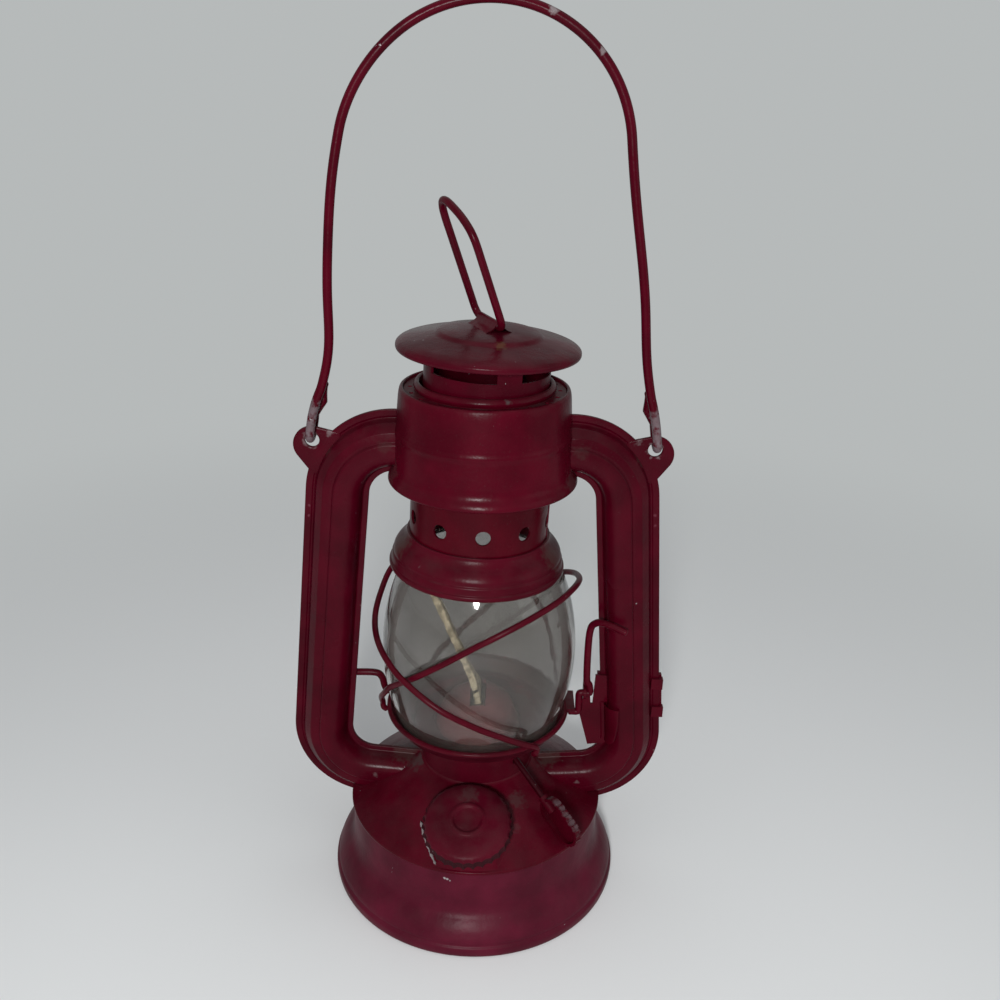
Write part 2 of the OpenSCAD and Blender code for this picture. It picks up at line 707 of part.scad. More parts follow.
module chimney_tube() {
  color([0.3, 0.0, 0.07]) tilted() difference() {
    union() {
      ring(chimney_r, chimney_r - chimney_sheet, chimney_foot, chimney_step - chimney_foot);
      ring(seat_flange_r, chimney_r - chimney_sheet, chimney_foot, chimney_sheet);
    }
    for (i = [0 : air_holes - 1])
      rotate([0, 0, -85.4 + 360 * i / air_holes]) translate([chimney_r - over, 0, air_hole_z])
        rotate([0, 90, 0]) cylinder(h = 2 * over, r = air_hole_r);
  }
}

module chimney_hood() {
  s = crown_sheet;
  in_r = chimney_r + seat_gap;
  outer = [[in_r + s, hood_top], [in_r + s, hood_top - 1.4], [in_r + s + 0.9, hood_edge_z + 0.7],
    [hood_r - 3.6, hood_edge_z],
    [hood_r - 2.9, hood_rim_z + 5.6], [hood_r - 1.4, hood_rim_z + 4.4], [hood_r - 1, hood_rim_z + 2.2],
    [hood_r - 0.2, hood_rim_z + 1.4], [hood_r, hood_rim_z + 0.8], [hood_r - 0.3, hood_rim_z]];
  inner = [[in_r, hood_top], [in_r, hood_top - 1.8], [in_r + 0.8, hood_edge_z - s],
    [hood_r - 3.6 - s, hood_edge_z - s],
    [hood_r - 2.9 - s, hood_rim_z + 5], [hood_r - 2.2, hood_rim_z + 3.9], [hood_r - 1.7, hood_rim_z + 2],
    [hood_r - 1.4, hood_rim_z + 1.4], [hood_r - 0.65, hood_rim_z]];
  color([0.34, 0.03, 0.1]) tilted() turned(outer, inner);
}

module chimney_neck() {
  color([0.32, 0.02, 0.09]) tilted() difference() {
    union() {
      ring(chimney_r, neck_r - chimney_sheet, chimney_step, chimney_sheet);
      ring(neck_r, neck_r - chimney_sheet, chimney_step, neck_top - chimney_step);
    }
    difference() {
      translate([0, 0, window_z]) cylinder(h = window_h, r = neck_r + over);
      for (i = [0 : window_posts - 1])
        rotate([0, 0, post_az + 360 * i / window_posts]) translate([0, -post_w / 2, window_z - over])
          cube([neck_r + 2 * over, post_w, window_h + 2 * over]);
    }
  }
}

// Outer face of the cap: a shallow slope to the ridge, then a low crown to the middle
function cap_face(r) =
  r > cap_ridge_r ? cap_z + 1.4 + (cap_dome - 3.2) * (cap_r - r) / (cap_r - cap_ridge_r)
    : cap_z + cap_dome - 1.8 * pow(r / cap_ridge_r, 2);

module on_cap() {
  translate([0, 0, loop_z]) rotate([0, 0, loop_az]) children();
}

module top_cap() {
  s = crown_sheet;
  radii = [0.01, 4, 8, 11, cap_ridge_r, 20, cap_r - 0.8];
  outer = concat([for (r = radii) [r, cap_face(r)]],
    [[cap_r, cap_z + 0.9], [cap_r, cap_z + 0.3], [cap_r - 0.5, cap_z]]);
  inner = concat([for (r = radii) [r, cap_face(r) - s]], [[cap_r - 1.2, cap_z]]);
  bore_r = loop_d / 2 + run_gap;
  color([0.3, 0.03, 0.09]) tilted() difference() {
    union() {
      turned(outer, inner);
      on_cap() rotate([0, 90, 0]) cylinder(h = tunnel_l, r = bore_r + tunnel_wall, center = true);
    }
    on_cap() rotate([0, 90, 0]) cylinder(h = tunnel_l + 2 * over, r = bore_r, center = true);
  }
}

// Closed wire loop: a bar through the tunnel and another at the top, joined by bends and two legs
module lift_loop() {
  half = loop_w / 2;
  leg_low = loop_bend_r;
  leg_high = loop_h - loop_top_r;
  color([0.34, 0.02, 0.1]) tilted() on_cap() rotate([loop_lean, 0, 0]) {
    rotate([0, 90, 0]) cylinder(h = loop_w - 2 * loop_bend_r, r = loop_d / 2, center = true);
    for (side = [0, 1]) mirror([side, 0, 0]) {
      translate([half - loop_bend_r, 0, loop_bend_r]) rotate([90, 0, 0]) rotate([0, 0, -90])
        rotate_extrude(angle = 90) translate([loop_bend_r, 0]) circle(d = loop_d);
      translate([half, 0, leg_low]) cylinder(h = leg_high - leg_low, r = loop_d / 2);
      translate([half - loop_top_r, 0, leg_high]) rotate([90, 0, 0])
        rotate_extrude(angle = 90) translate([loop_top_r, 0]) circle(d = loop_d);
    }
    translate([0, 0, loop_h]) rotate([0, 90, 0])
      cylinder(h = loop_w - 2 * loop_top_r, r = loop_d / 2, center = true);
  }
}

// Bail of one wire, in front of the ears, with its ends turned back behind the bars
module bail() {
  color([0.36, 0.05, 0.12]) translate([0, -eye_bend_r, 0]) {
    translate([0, 0, arch_z]) rotate([90, 0, 0]) rotate([0, 0, bail_lean])
      rotate_extrude(angle = 180 - 2 * bail_lean) translate([bail_arch_r, 0]) circle(d = bail_d);
    for (side = [0, 1]) mirror([side, 0, 0]) translate([ear_x, 0, bar_z]) rotate([0, -bail_lean, 0]) {
      cylinder(h = bail_leg_l + leg_tuck, r = bail_d / 2 - leg_thin);
      translate([0, eye_bend_r, 0]) rotate([0, 90, 0]) rotate([0, 0, -90]) rotate_extrude(angle = 180)
        translate([eye_bend_r, 0]) circle(d = bail_d);
      translate([0, 2 * eye_bend_r, 0]) cylinder(h = eye_tail_l, r = bail_d / 2);
    }
  }
}

// Globe, its plate and guard

module globe() {
  steps = 20;
  heights = [for (i = [0 : steps]) globe_base + globe_h * i / steps];
  color([0.8, 0.85, 0.85, 0.4])
    turned([for (z = heights) [globe_at(z), z]], [for (z = heights) [globe_at(z) - glass_t, z]]);
}

module globe_plate() {
  s = plate_sheet;
  floor_r = globe_seat_r - 4;
  outer = [[plate_hole_r, plate_base], [floor_r, plate_base], [floor_r + 0.8, globe_base - s],
    [globe_seat_r + 0.6, globe_base - s], [plate_r - 0.7, plate_rim_z - 1.4], [plate_r, plate_rim_z - 1],
    [plate_r, plate_rim_z - 0.3], [plate_r - 0.4, plate_rim_z]];
  inner = [[plate_hole_r, plate_base + s], [floor_r - s, plate_base + s], [floor_r, globe_base],
    [globe_seat_r + 0.2, globe_base], [plate_r - 1.4, plate_rim_z - 1], [plate_r - 1.4, plate_rim_z]];
  color([0.34, 0.02, 0.1]) {
    turned(outer, inner);
    translate([plate_r - 0.8, lever_y - 2, plate_rim_z - ledge_gap / 2])
      cube([ledge_reach + 0.8, lift_h + 4, ledge_t]);
  }
}

// Distance from the axis of a guard wire that lies on the glass but clears the plate's rim
function guard_r(z, off) =
  off + guard_d / 2 + max(globe_at(min(z, globe_top)) + 0.4, plate_r + 0.5);

// Hook of a guard wire round the plate's rim, from its end below the rim up to the glass
function guard_hook(az) = [
  polar(plate_r + 0.3, az, plate_rim_z - 3.1),
  polar(plate_r + guard_d / 2 + 0.3, az, plate_rim_z - 2.2),
  polar(plate_r + guard_d / 2 + 0.5, az, plate_rim_z - 0.2)];

// A guard wire from its list of direction, height above the rim and distance off the glass
function guard_path(az_from, marks, az_to) =
  let (up = guard_hook(az_from), down = guard_hook(az_to))
    concat(up, [for (m = marks) polar(guard_r(plate_rim_z + m[1], m[2]), m[0], plate_rim_z + m[1])],
      [down[2], down[1], down[0]]);

// From the left across the front, past the hood on the right, and down behind to the rear left
guard_front_marks = [[190, 4, 0.4], [200, 9, 0.4], [216, 17.4, 0.4], [233, 24.8, 0.4], [250, 32.4, 0.4],
  [267, 39.6, 0.5], [283, 45, 0.8], [300, 48.8, 0.6], [318, 50.6, 0], [335, 51, -0.4], [350, 50, -0.4],
  [365, 47.6, -0.4], [380, 44.6, 0], [395, 40.6, 0.4], [410, 35.6, 0.4], [425, 29.6, 0.4], [439, 22.4, 0.4],
  [453, 14.6, 0.4], [470, 5.6, 0.4]];
// From the front right over the first wire, round the left, and behind down to the right
guard_rear_marks = [[-60, 2.6, 0.4], [-74, 7.4, 0.8], [-90, 12.8, 1.6], [-108, 18.8, 2.6], [-127, 25, 3.1],
  [-142, 28.6, 2.8], [-158, 31.4, 2.2], [-176, 33.8, 1.8], [-192, 38, 1.6], [-206, 42.4, 1.8],
  [-222, 44.6, 2.2], [-240, 43.8, 2.2], [-258, 40.4, 2], [-276, 35.2, 2.4], [-292, 30, 2.8],
  [-306, 24.4, 2.4], [-318, 17, 1.2], [-330, 8, 0.4]];

module guard_front() {
  color([0.36, 0.03, 0.11]) wire(smooth(guard_path(184, guard_front_marks, 484), 3), guard_d);
}

module guard_rear() {
  color([0.34, 0.03, 0.11]) wire(smooth(guard_path(-53, guard_rear_marks, -337), 3), guard_d);
}

// Wire arm that keeps the plate from turning: from the rim to behind the left tube's inner flange
module guide_wire() {
  arm_z = plate_rim_z + 8.6;
  edge_x = leg_in_x(arm_z + lift_h);
  y = tube_sheet + guard_d / 2 + slide_gap;
  path = [[-plate_r - 0.1, y, plate_rim_z + 1.1], [-plate_r - 1.2, y, plate_rim_z + 3.4],
    [-plate_r - 2.2, y, arm_z - 1.6], [-plate_r - 4.4, y, arm_z], [-edge_x - 1.4, y, arm_z]];
  color([0.34, 0.03, 0.11]) wire(smooth(path, 4), guard_d);
}

// Lift lever and its bracket

// One bent wire: pin below the plate's ledge, crank, pivot through the bracket's eye, handle, finger piece
module globe_lever() {
  r = lever_d / 2;
  pin_from = plate_r + 0.35;
  tip = [tube_w / 2, -(tube_depth + 0.4 - abs(lever_y)), 0];
  handle = [[handle_x, lever_y, lever_z], [handle_x - 0.4, lever_y, lever_z + 3.2],
    [handle_x - 1.4, lever_y, lever_z + 0.22 * lever_h],
    [handle_x - 1.5, lever_y - 0.2, lever_z + 0.8 * lever_h],
    [handle_x + 0.3, lever_y - 1.8, lever_z + 0.97 * lever_h],
    [handle_x + 4, lever_y - 4.4, lever_z + lever_h],
    [handle_x + tip.x - 0.6, lever_y + tip.y - 3, lever_z + 0.96 * lever_h]];
  color([0.34, 0.02, 0.1]) {
    translate([lever_x, lever_y, lever_z - lift_h]) {
      translate([pin_from - lever_x, 0, 0]) rotate([0, 90, 0]) cylinder(h = lever_x - pin_from, r = r);
      sphere(r = r);
      cylinder(h = lift_h, r = r);
    }
    translate([lever_x, lever_y, lever_z]) {
      sphere(r = r);
      rotate([0, 90, 0]) cylinder(h = handle_x - lever_x, r = r);
    }
    translate([handle_x, lever_y, lever_z]) sphere(r = r + 0.06);
    wire(smooth(handle, 4), lever_d);
  }
}

// Inner edge of the right tube at a height of its leg
function leg_in_x(z) = leg_top_x - tube_w / 2 / cos(tube_lean) + (leg_top_z - z) * tan(tube_lean);

// Sheet clip: a pocket plate on the inner flange, an eye for the lever, a band round the back of the tube
module lever_bracket() {
  t = 0.8;
  front = -tube_sheet - 0.1;
  low = lever_z - 22;
  high = lever_z + 6;
  band_low = lever_z - 11;
  band_l = 17;
  band_gap = 0.1;
  crank_low = lever_z - lift_h - lever_d / 2 - slide_gap;
  pocket = [[leg_in_x(low) - 5.2, low], [eye_x - 0.7, crank_low - 0.3], [eye_x, crank_low],
    [eye_x, lever_z + 4], [eye_x + 2, lever_z + 4], [eye_x + 3, lever_z - 5.4],
    [leg_in_x(high) - 2, lever_z - 5.4],
    [leg_in_x(high) - 1.6, high], [leg_in_x(high) + flange_in - 0.1, high],
    [leg_in_x(low) + flange_in - 0.1, low + 1]];
  color([0.33, 0.02, 0.1]) difference() {
    union() {
      translate([0, front, 0]) rotate([90, 0, 0]) linear_extrude(t) polygon(pocket);
      translate([eye_x, lever_y, lever_z]) rotate([0, 90, 0]) cylinder(h = eye_t, r = eye_r);
      translate([eye_x, lever_y, lever_z - eye_r]) cube([eye_t, front - lever_y, 2 * eye_r]);
      intersection() {
        mirror([0, 1, 0]) tube_leg(false, band_gap + t, leg_l / 2, leg_l / 2);
        translate([eye_x, -over, band_low]) cube([foot_r, foot_r, band_l]);
      }
      for (z = [band_low + 1, band_low + band_l - 5])
        translate([leg_in_x(z) + tube_w - 2.9, front - t, z]) cube([3.9, t - front + over / 10, 4]);
      translate([leg_in_x(band_low) - 1.6, front - t, band_low])
        cube([1.2, t - front + tube_sheet + band_gap, band_l]);
    }
    translate([eye_x - over, lever_y, lever_z]) rotate([0, 90, 0])
      cylinder(h = 2 * over + eye_t, r = lever_d / 2 + run_gap);
    for (half = [0, 1]) mirror([0, half, 0]) {
      tube_leg(false, band_gap, 0, leg_l);
      tube_foot(false, band_gap);
    }
  }
}

fount_shell();
fount_floor();
fount_shoulder();
filler_neck();
filler_gasket();
filler_cap();
burner_collar();
burner_base();
wick_tube();
burner_dome();
wick_spindle();
wick_key();
wick();
left_tube_front();
left_tube_rear();
right_tube_front();
right_tube_rear();
crown_drum();
crown_top();
crown_floor();
chimney_spring();
chimney_hood();
chimney_tube();
chimney_neck();
top_cap();
lift_loop();
bail();
globe();
globe_plate();
guard_front();
guard_rear();
guide_wire();
globe_lever();
lever_bracket();
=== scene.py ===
"""Small crimson hurricane lantern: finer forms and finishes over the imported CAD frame."""
import math

import bpy
import numpy as np
from mathutils import Matrix, Vector


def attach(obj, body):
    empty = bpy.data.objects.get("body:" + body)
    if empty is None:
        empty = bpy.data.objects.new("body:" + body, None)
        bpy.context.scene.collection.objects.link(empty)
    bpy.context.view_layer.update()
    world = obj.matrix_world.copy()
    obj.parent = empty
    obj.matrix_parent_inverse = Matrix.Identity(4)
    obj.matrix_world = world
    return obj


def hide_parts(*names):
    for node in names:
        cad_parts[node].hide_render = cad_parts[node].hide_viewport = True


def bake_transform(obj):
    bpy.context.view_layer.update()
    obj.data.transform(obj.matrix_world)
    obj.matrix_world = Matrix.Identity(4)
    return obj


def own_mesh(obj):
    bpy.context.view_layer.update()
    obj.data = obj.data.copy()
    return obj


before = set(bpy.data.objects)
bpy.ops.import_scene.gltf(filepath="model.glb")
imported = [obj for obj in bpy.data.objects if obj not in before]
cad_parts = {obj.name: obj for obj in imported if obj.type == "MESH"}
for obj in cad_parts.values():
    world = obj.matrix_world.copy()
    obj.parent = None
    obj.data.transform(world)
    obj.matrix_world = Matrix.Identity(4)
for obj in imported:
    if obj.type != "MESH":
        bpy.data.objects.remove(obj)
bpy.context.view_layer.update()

# Camera: held in front of the lantern and above it, tipped down 22 degrees and rolled a little.
# Its place was fitted to the foot, shoulder, crown and cap in the photo.
MM = 0.001
pitch, roll = math.radians(22.4), math.radians(1.72)
forward = Vector((0, math.cos(pitch), -math.sin(pitch)))
level = Vector((1, 0, 0))
upright = level.cross(forward)
right = math.cos(roll) * level + math.sin(roll) * upright
up = -math.sin(roll) * level + math.cos(roll) * upright
camera_data = bpy.data.cameras.new("camera")
camera_data.sensor_width = 36
camera_data.lens = 36.216
camera = bpy.data.objects.new("camera", camera_data)
bpy.context.scene.collection.objects.link(camera)
turn = Matrix((right, up, -forward)).transposed().to_4x4()
camera.matrix_world = Matrix.Translation(Vector((5.55, -294.6, 261.65)) * MM) @ turn
bpy.context.scene.camera = camera
bpy.context.scene.view_settings.view_transform = "Standard"


# Floor: a wide pale disc, lit and shaded near the lantern. Further off the camera sees it as one even
# tone, the same as the world's, so that no horizon shows. Only the stage; it isn't part of the lantern.
def grid_mesh(name, points, closed_u=False, closed_v=False):
    """Quads between neighbours of a grid of points p(u, v), an array of shape (nu, nv, 3) in millimetres.
    The quads are turned round where the sum of p . n dA over them is negative, so that they face
    outwards."""
    nu, nv = points.shape[:2]
    i, j = np.meshgrid(np.arange(nu if closed_u else nu - 1), np.arange(nv if closed_v else nv - 1),
                       indexing="ij")
    i2, j2 = (i + 1) % nu, (j + 1) % nv
    faces = np.stack([i * nv + j, i2 * nv + j, i2 * nv + j2, i * nv + j2], -1).reshape(-1, 4)
    flat = points.reshape(-1, 3).astype(float)
    a, b, c, d = (flat[faces[:, k]] for k in range(4))
    if np.sum((a + b + c + d) * np.cross(c - a, d - b)) < 0:
        faces = faces[:, ::-1]
    mesh = bpy.data.meshes.new(name)
    mesh.from_pydata((flat * MM).tolist(), [], faces.tolist())
    mesh.polygons.foreach_set("use_smooth", np.ones(len(faces), bool))
    piece = bpy.data.objects.new(name, mesh)
    bpy.context.scene.collection.objects.link(piece)
    return piece


PALE = (0.47, 0.49, 0.49)
spread = np.array([1, 200, 400, 800, 2000, 9000.0])[None, :, None]
turns = np.linspace(0, 2 * np.pi, 48, endpoint=False)[:, None, None]
floor = grid_mesh("floor", spread * np.concatenate([np.cos(turns), np.sin(turns), 0 * turns], -1),
                  closed_u=True)
floor_paint = bpy.data.materials.new("floor")
floor_paint.use_nodes = True
ground = floor_paint.node_tree
floor_shader = ground.nodes["Principled BSDF"]
floor_shader.inputs["Base Color"].default_value = (0.78, 0.795, 0.795, 1)
floor_shader.inputs["Roughness"].default_value = 0.9
even = ground.nodes.new("ShaderNodeEmission")
even.inputs["Color"].default_value = (*PALE, 1)
ground_spots = ground.nodes.new("ShaderNodeTexCoord")
off = ground.nodes.new("ShaderNodeVectorMath")
off.operation = "LENGTH"
ground.links.new(ground_spots.outputs["Object"], off.inputs[0])
far_off = ground.nodes.new("ShaderNodeMapRange")
far_off.interpolation_type = "SMOOTHSTEP"
far_off.inputs["From Min"].default_value = 0.12
far_off.inputs["From Max"].default_value = 0.55
ground.links.new(off.outputs["Value"], far_off.inputs["Value"])
ground_rays = ground.nodes.new("ShaderNodeLightPath")
seen_far = ground.nodes.new("ShaderNodeMath")
seen_far.operation = "MULTIPLY"
ground.links.new(far_off.outputs["Result"], seen_far.inputs[0])
ground.links.new(ground_rays.outputs["Is Camera Ray"], seen_far.inputs[1])
ground_mix = ground.nodes.new("ShaderNodeMixShader")
ground.links.new(seen_far.outputs[0], ground_mix.inputs[0])
ground.links.new(floor_shader.outputs[0], ground_mix.inputs[1])
ground.links.new(even.outputs[0], ground_mix.inputs[2])
ground.links.new(ground_mix.outputs[0], ground.nodes["Material Output"].inputs[0])
floor.data.materials.append(floor_paint)

# Light: a key lamp behind the camera and to its left, a wide fill from above and a weak one from the right.
# The world is pale to the camera and in gloss and glass, and dimmer as a light.
for name, place, size, power in (
    ("key", (-50, -600, 350), 0.1, 3.4),
    ("top", (60, -40, 900), 0.9, 1.3),
    ("side", (720, -260, 300), 0.5, 0.5),
):
    lamp_data = bpy.data.lights.new(name, "AREA")
    lamp_data.shape = "DISK"
    lamp_data.size = size
    lamp_data.energy = power
    lamp = bpy.data.objects.new(name, lamp_data)
    lamp.location = Vector(place) * MM
    lamp.rotation_euler = (Vector((0, 0, 110)) - Vector(place)).to_track_quat("-Z", "Y").to_euler()
    bpy.context.scene.collection.objects.link(lamp)
world = bpy.data.worlds.new("world")
bpy.context.scene.world = world
world.use_nodes = True
sky = world.node_tree
sky.nodes.clear()
rays = sky.nodes.new("ShaderNodeLightPath")
seen = sky.nodes.new("ShaderNodeMath")
seen.operation = "MAXIMUM"
shown = sky.nodes.new("ShaderNodeMath")
shown.operation = "MAXIMUM"
sky.links.new(rays.outputs["Is Camera Ray"], seen.inputs[0])
sky.links.new(rays.outputs["Is Transmission Ray"], seen.inputs[1])
sky.links.new(seen.outputs[0], shown.inputs[0])
sky.links.new(rays.outputs["Is Glossy Ray"], shown.inputs[1])
dim = sky.nodes.new("ShaderNodeBackground")
dim.inputs["Color"].default_value = (0.95, 0.97, 1, 1)
dim.inputs["Strength"].default_value = 0.3
bright = sky.nodes.new("ShaderNodeBackground")
bright.inputs["Color"].default_value = (*PALE, 1)
both = sky.nodes.new("ShaderNodeMixShader")
sky.links.new(shown.outputs[0], both.inputs[0])
sky.links.new(dim.outputs[0], both.inputs[1])
sky.links.new(bright.outputs[0], both.inputs[2])
sky.links.new(both.outputs[0], sky.nodes.new("ShaderNodeOutputWorld").inputs[0])


# Fount shell: one drawn sheet, upright below the shoulder's seam and flared out to a rolled foot rim.
# Dark crimson gloss enamel, a little cloudy, with small chips and a scratch below the seam.
def rounded(corners, steps=6):
    """Outline through corners (r, z, fillet): each corner P is replaced by the curve
    (1 - t)^2 A + 2 t (1 - t) P + t^2 B, with A and B at most a fillet away on its two sides."""
    spots = np.array([c[:2] for c in corners], float)
    line = []
    for k, corner in enumerate(corners):
        here = spots[k]
        ends = []
        for other in (spots[k - 1], spots[(k + 1) % len(corners)]):
            reach = np.linalg.norm(other - here)
            ends.append(here + (other - here) * min(corner[2], 0.48 * reach) / max(reach, 1e-9))
        t = np.linspace(0, 1, steps if corner[2] else 1)[:, None]
        line.append((1 - t) ** 2 * ends[0] + 2 * t * (1 - t) * here + t**2 * ends[1])
    return np.concatenate(line)


def turned(name, corners, count=160, wave=0.0):
    """Sheet of revolution p(u, v) = ((r + w) cos u, (r + w) sin u, z), with (r, z) along the rounded
    outline and w = wave sin(3u + z / 9) sin(2u + 1), because pressed sheet is never quite round."""
    line = rounded(corners)
    u = np.linspace(0, 2 * np.pi, count, endpoint=False)[:, None]
    r, z = line[None, :, 0], line[None, :, 1]
    r = r + wave * np.sin(3 * u + z / 9) * np.sin(2 * u + 1)
    return grid_mesh(name, np.stack([r * np.cos(u), r * np.sin(u), z + 0 * u], -1), True, True)


def shade(name):
    """A new material with its node tree, its shader and its object coordinates."""
    material = bpy.data.materials.new(name)
    material.use_nodes = True
    tree = material.node_tree
    return material, tree, tree.nodes["Principled BSDF"], tree.nodes.new("ShaderNodeTexCoord")


def ramp(tree, value, low, high, first=0.0, second=1.0):
    """A value spread so that low becomes first and high becomes second."""
    node = tree.nodes.new("ShaderNodeMapRange")
    node.inputs["From Min"].default_value = low
    node.inputs["From Max"].default_value = high
    node.inputs["To Min"].default_value = first
    node.inputs["To Max"].default_value = second
    tree.links.new(value, node.inputs["Value"])
    return node.outputs["Result"]


def noise(tree, spots, scale, detail=3.0, low=0.4, high=0.6):
    """Noise in the lantern's own space, spread so that low becomes 0 and high becomes 1."""
    cloud = tree.nodes.new("ShaderNodeTexNoise")
    cloud.inputs["Scale"].default_value = scale
    cloud.inputs["Detail"].default_value = detail
    tree.links.new(spots.outputs["Object"], cloud.inputs["Vector"])
    return ramp(tree, cloud.outputs["Fac"], low, high)


def product(tree, a, b):
    """Product of a value and another value or a number."""
    times = tree.nodes.new("ShaderNodeMath")
    times.operation = "MULTIPLY"
    tree.links.new(a, times.inputs[0])
    if isinstance(b, (int, float)):
        times.inputs[1].default_value = b
    else:
        tree.links.new(b, times.inputs[1])
    return times.outputs[0]


def mixed(tree, factor, first, second):
    """Blend of two colours, each typed or from a node, by a factor."""
    mix = tree.nodes.new("ShaderNodeMix")
    mix.data_type = "RGBA"
    tree.links.new(factor, mix.inputs["Factor"])
    for socket, value in ((mix.inputs["A"], first), (mix.inputs["B"], second)):
        if isinstance(value, tuple):
            socket.default_value = (*value, 1)
        else:
            tree.links.new(value, socket)
    return mix.outputs["Result"]


def upward(tree, spots, low, high):
    """1 on faces that look up, 0 on the others."""
    split = tree.nodes.new("ShaderNodeSeparateXYZ")
    tree.links.new(spots.outputs["Normal"], split.inputs[0])
    return ramp(tree, split.outputs["Z"], low, high)


def near(tree, spots, place, radius):
    """1 at a place in millimetres, fading to 0 at a ragged radius round it."""
    gap = tree.nodes.new("ShaderNodeVectorMath")
    gap.operation = "DISTANCE"
    gap.inputs[1].default_value = Vector(place) * MM
    tree.links.new(spots.outputs["Object"], gap.inputs[0])
    ragged = tree.nodes.new("ShaderNodeMath")
    ragged.operation = "MULTIPLY_ADD"
    tree.links.new(noise(tree, spots, 700, 4, 0.3, 0.7), ragged.inputs[0])
    ragged.inputs[1].default_value = 0.8 * radius * MM
    tree.links.new(gap.outputs["Value"], ragged.inputs[2])
    return ramp(tree, ragged.outputs[0], 1.3 * radius * MM, 0.75 * radius * MM)


def bumps(tree, spots, shader, layers):
    """Bump layers of scale, detail and height in metres, coarse first, on the shader's normal."""
    last = None
    for scale, detail, height in layers:
        bump = tree.nodes.new("ShaderNodeBump")
        bump.inputs["Distance"].default_value = height
        tree.links.new(noise(tree, spots, scale, detail, 0.2, 0.8), bump.inputs["Height"])
        if last:
            tree.links.new(last.outputs[0], bump.inputs["Normal"])
        last = bump
    tree.links.new(last.outputs[0], shader.inputs["Normal"])


CRIMSON = (0.068, 0.0007, 0.0072)
DUST = (0.06, 0.03, 0.031)
SOIL = (0.05, 0.026, 0.024)
BARE = (0.3, 0.275, 0.28)


def enamel(name, tone=CRIMSON, dust=0.25, chips=0.77, gloss=0.2, marks=()):
    """Gloss paint over steel: cloudy crimson, dust where a face looks up, chips to bare metal above a
    noise level, an orange-peel surface, and marks of place, radius, colour and amount."""
    material, tree, shader, spots = shade(name)
    deep = tuple(c * 0.66 for c in tone)
    layer = mixed(tree, noise(tree, spots, 75, 4, 0.35, 0.65), deep, tone)
    dusty = product(tree, upward(tree, spots, 0.15, 0.95), noise(tree, spots, 170, 6, 0.36, 0.68))
    layer = mixed(tree, product(tree, dusty, dust), layer, DUST)
    layer = mixed(tree, product(tree, noise(tree, spots, 1700, 2, 0.66, 0.76), 0.25), layer, DUST)
    for place, radius, colour, amount in marks:
        layer = mixed(tree, product(tree, near(tree, spots, place, radius), amount), layer, colour)
    bare = noise(tree, spots, 620, 3, chips, chips + 0.02)
    tree.links.new(mixed(tree, bare, layer, BARE), shader.inputs["Base Color"])
    tree.links.new(product(tree, bare, 0.5), shader.inputs["Metallic"])
    tree.links.new(ramp(tree, noise(tree, spots, 45, 5, 0.3, 0.7), 0, 1, gloss, gloss + 0.17),
                   shader.inputs["Roughness"])
    shader.inputs["Specular IOR Level"].default_value = 0.07
    bumps(tree, spots, shader, ((45, 2, 0.0004), (430, 2, 0.00005), (1500, 1, 0.000012)))
    return material


def dress(piece, material, body, slot, *nodes):
    """A piece's finish, the body it rides on, its slot, which is not used, and the CAD nodes it stands for.
    """
    piece.data.materials.append(material)
    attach(piece, body)
    if nodes:
        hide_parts(*nodes)


def finish_node(node, material):
    """A CAD node keeps its shape and takes a finish."""
    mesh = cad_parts[node].data
    mesh.materials.clear()
    mesh.materials.append(material)


shell = turned(
    "fount_body",
    [(43.2, 28.6, 0.15), (43.4, 13.6, 3.4), (47.2, 9.6, 5), (49.2, 5.6, 1.2), (49.05, 4.1, 0.5),
     (49.9, 3.4, 0.5), (50.0, 1.6, 0.9), (49.7, 0.2, 0.5), (49.0, 0, 0.3), (48.3, 0, 0.2), (48.2, 4, 1),
     (46.3, 9.2, 4), (42.3, 13.4, 3), (42.3, 28.6, 0.2)],
    count=240, wave=0.06,
)
scratch = [((-8.6, -42.3, 25.9), 0.55, BARE, 0.9), ((-7.7, -42.5, 25.6), 0.6, BARE, 0.9),
           ((-6.9, -42.6, 25.2), 0.5, BARE, 0.9)]
dress(shell, enamel("fount_enamel", tone=(0.084, 0.006, 0.018), dust=0.15, gloss=0.3, marks=scratch),
      "frame", "crimson_enamel", "fount_shell")
finish_node("fount_floor", enamel("floor_enamel", dust=0.1, gloss=0.4))

# Fount shoulder: a cone from the crimped seam up to the burner collar, plain all over.
# The seam is a thin roll of doubled sheet; dust has gathered round the collar and where the tubes stand.
shoulder_marks = [((14.3, -21.1, 40.4), 4, DUST, 0.5), ((-20.3, -4.9, 43.2), 5, DUST, 0.8),
                  ((24.2, -1.2, 41.2), 5, DUST, 0.8), ((13.6, -29.8, 36.3), 2.5, DUST, 0.3)]
shoulder_paint = enamel("shoulder_enamel", tone=(0.074, 0.0009, 0.008), dust=0.12, chips=0.76,
                        marks=shoulder_marks)
finish_node("fount_shoulder", shoulder_paint)
seam = turned("shoulder_seam", [(43.1, 28.3, 0.3), (43.8, 28.5, 0.3), (43.85, 29.3, 0.3),
                                (43.3, 29.75, 0.3), (42.6, 30.0, 0.2),
                                (42.4, 29.6, 0.2)], count=240, wave=0.05)
dress(seam, enamel("seam_enamel", dust=0.15, chips=0.76), "frame", "crimson_enamel")
fillet = turned("collar_foot", [(18.9, 44.0, 0.2), (19.5, 43.9, 0.2), (19.45, 44.6, 0.3),
                                (19.2, 45.2, 0.3), (18.9, 45.2, 0.1)], wave=0.02)
dress(fillet, enamel("collar_foot_enamel", dust=0.6, gloss=0.4), "frame", "crimson_enamel")

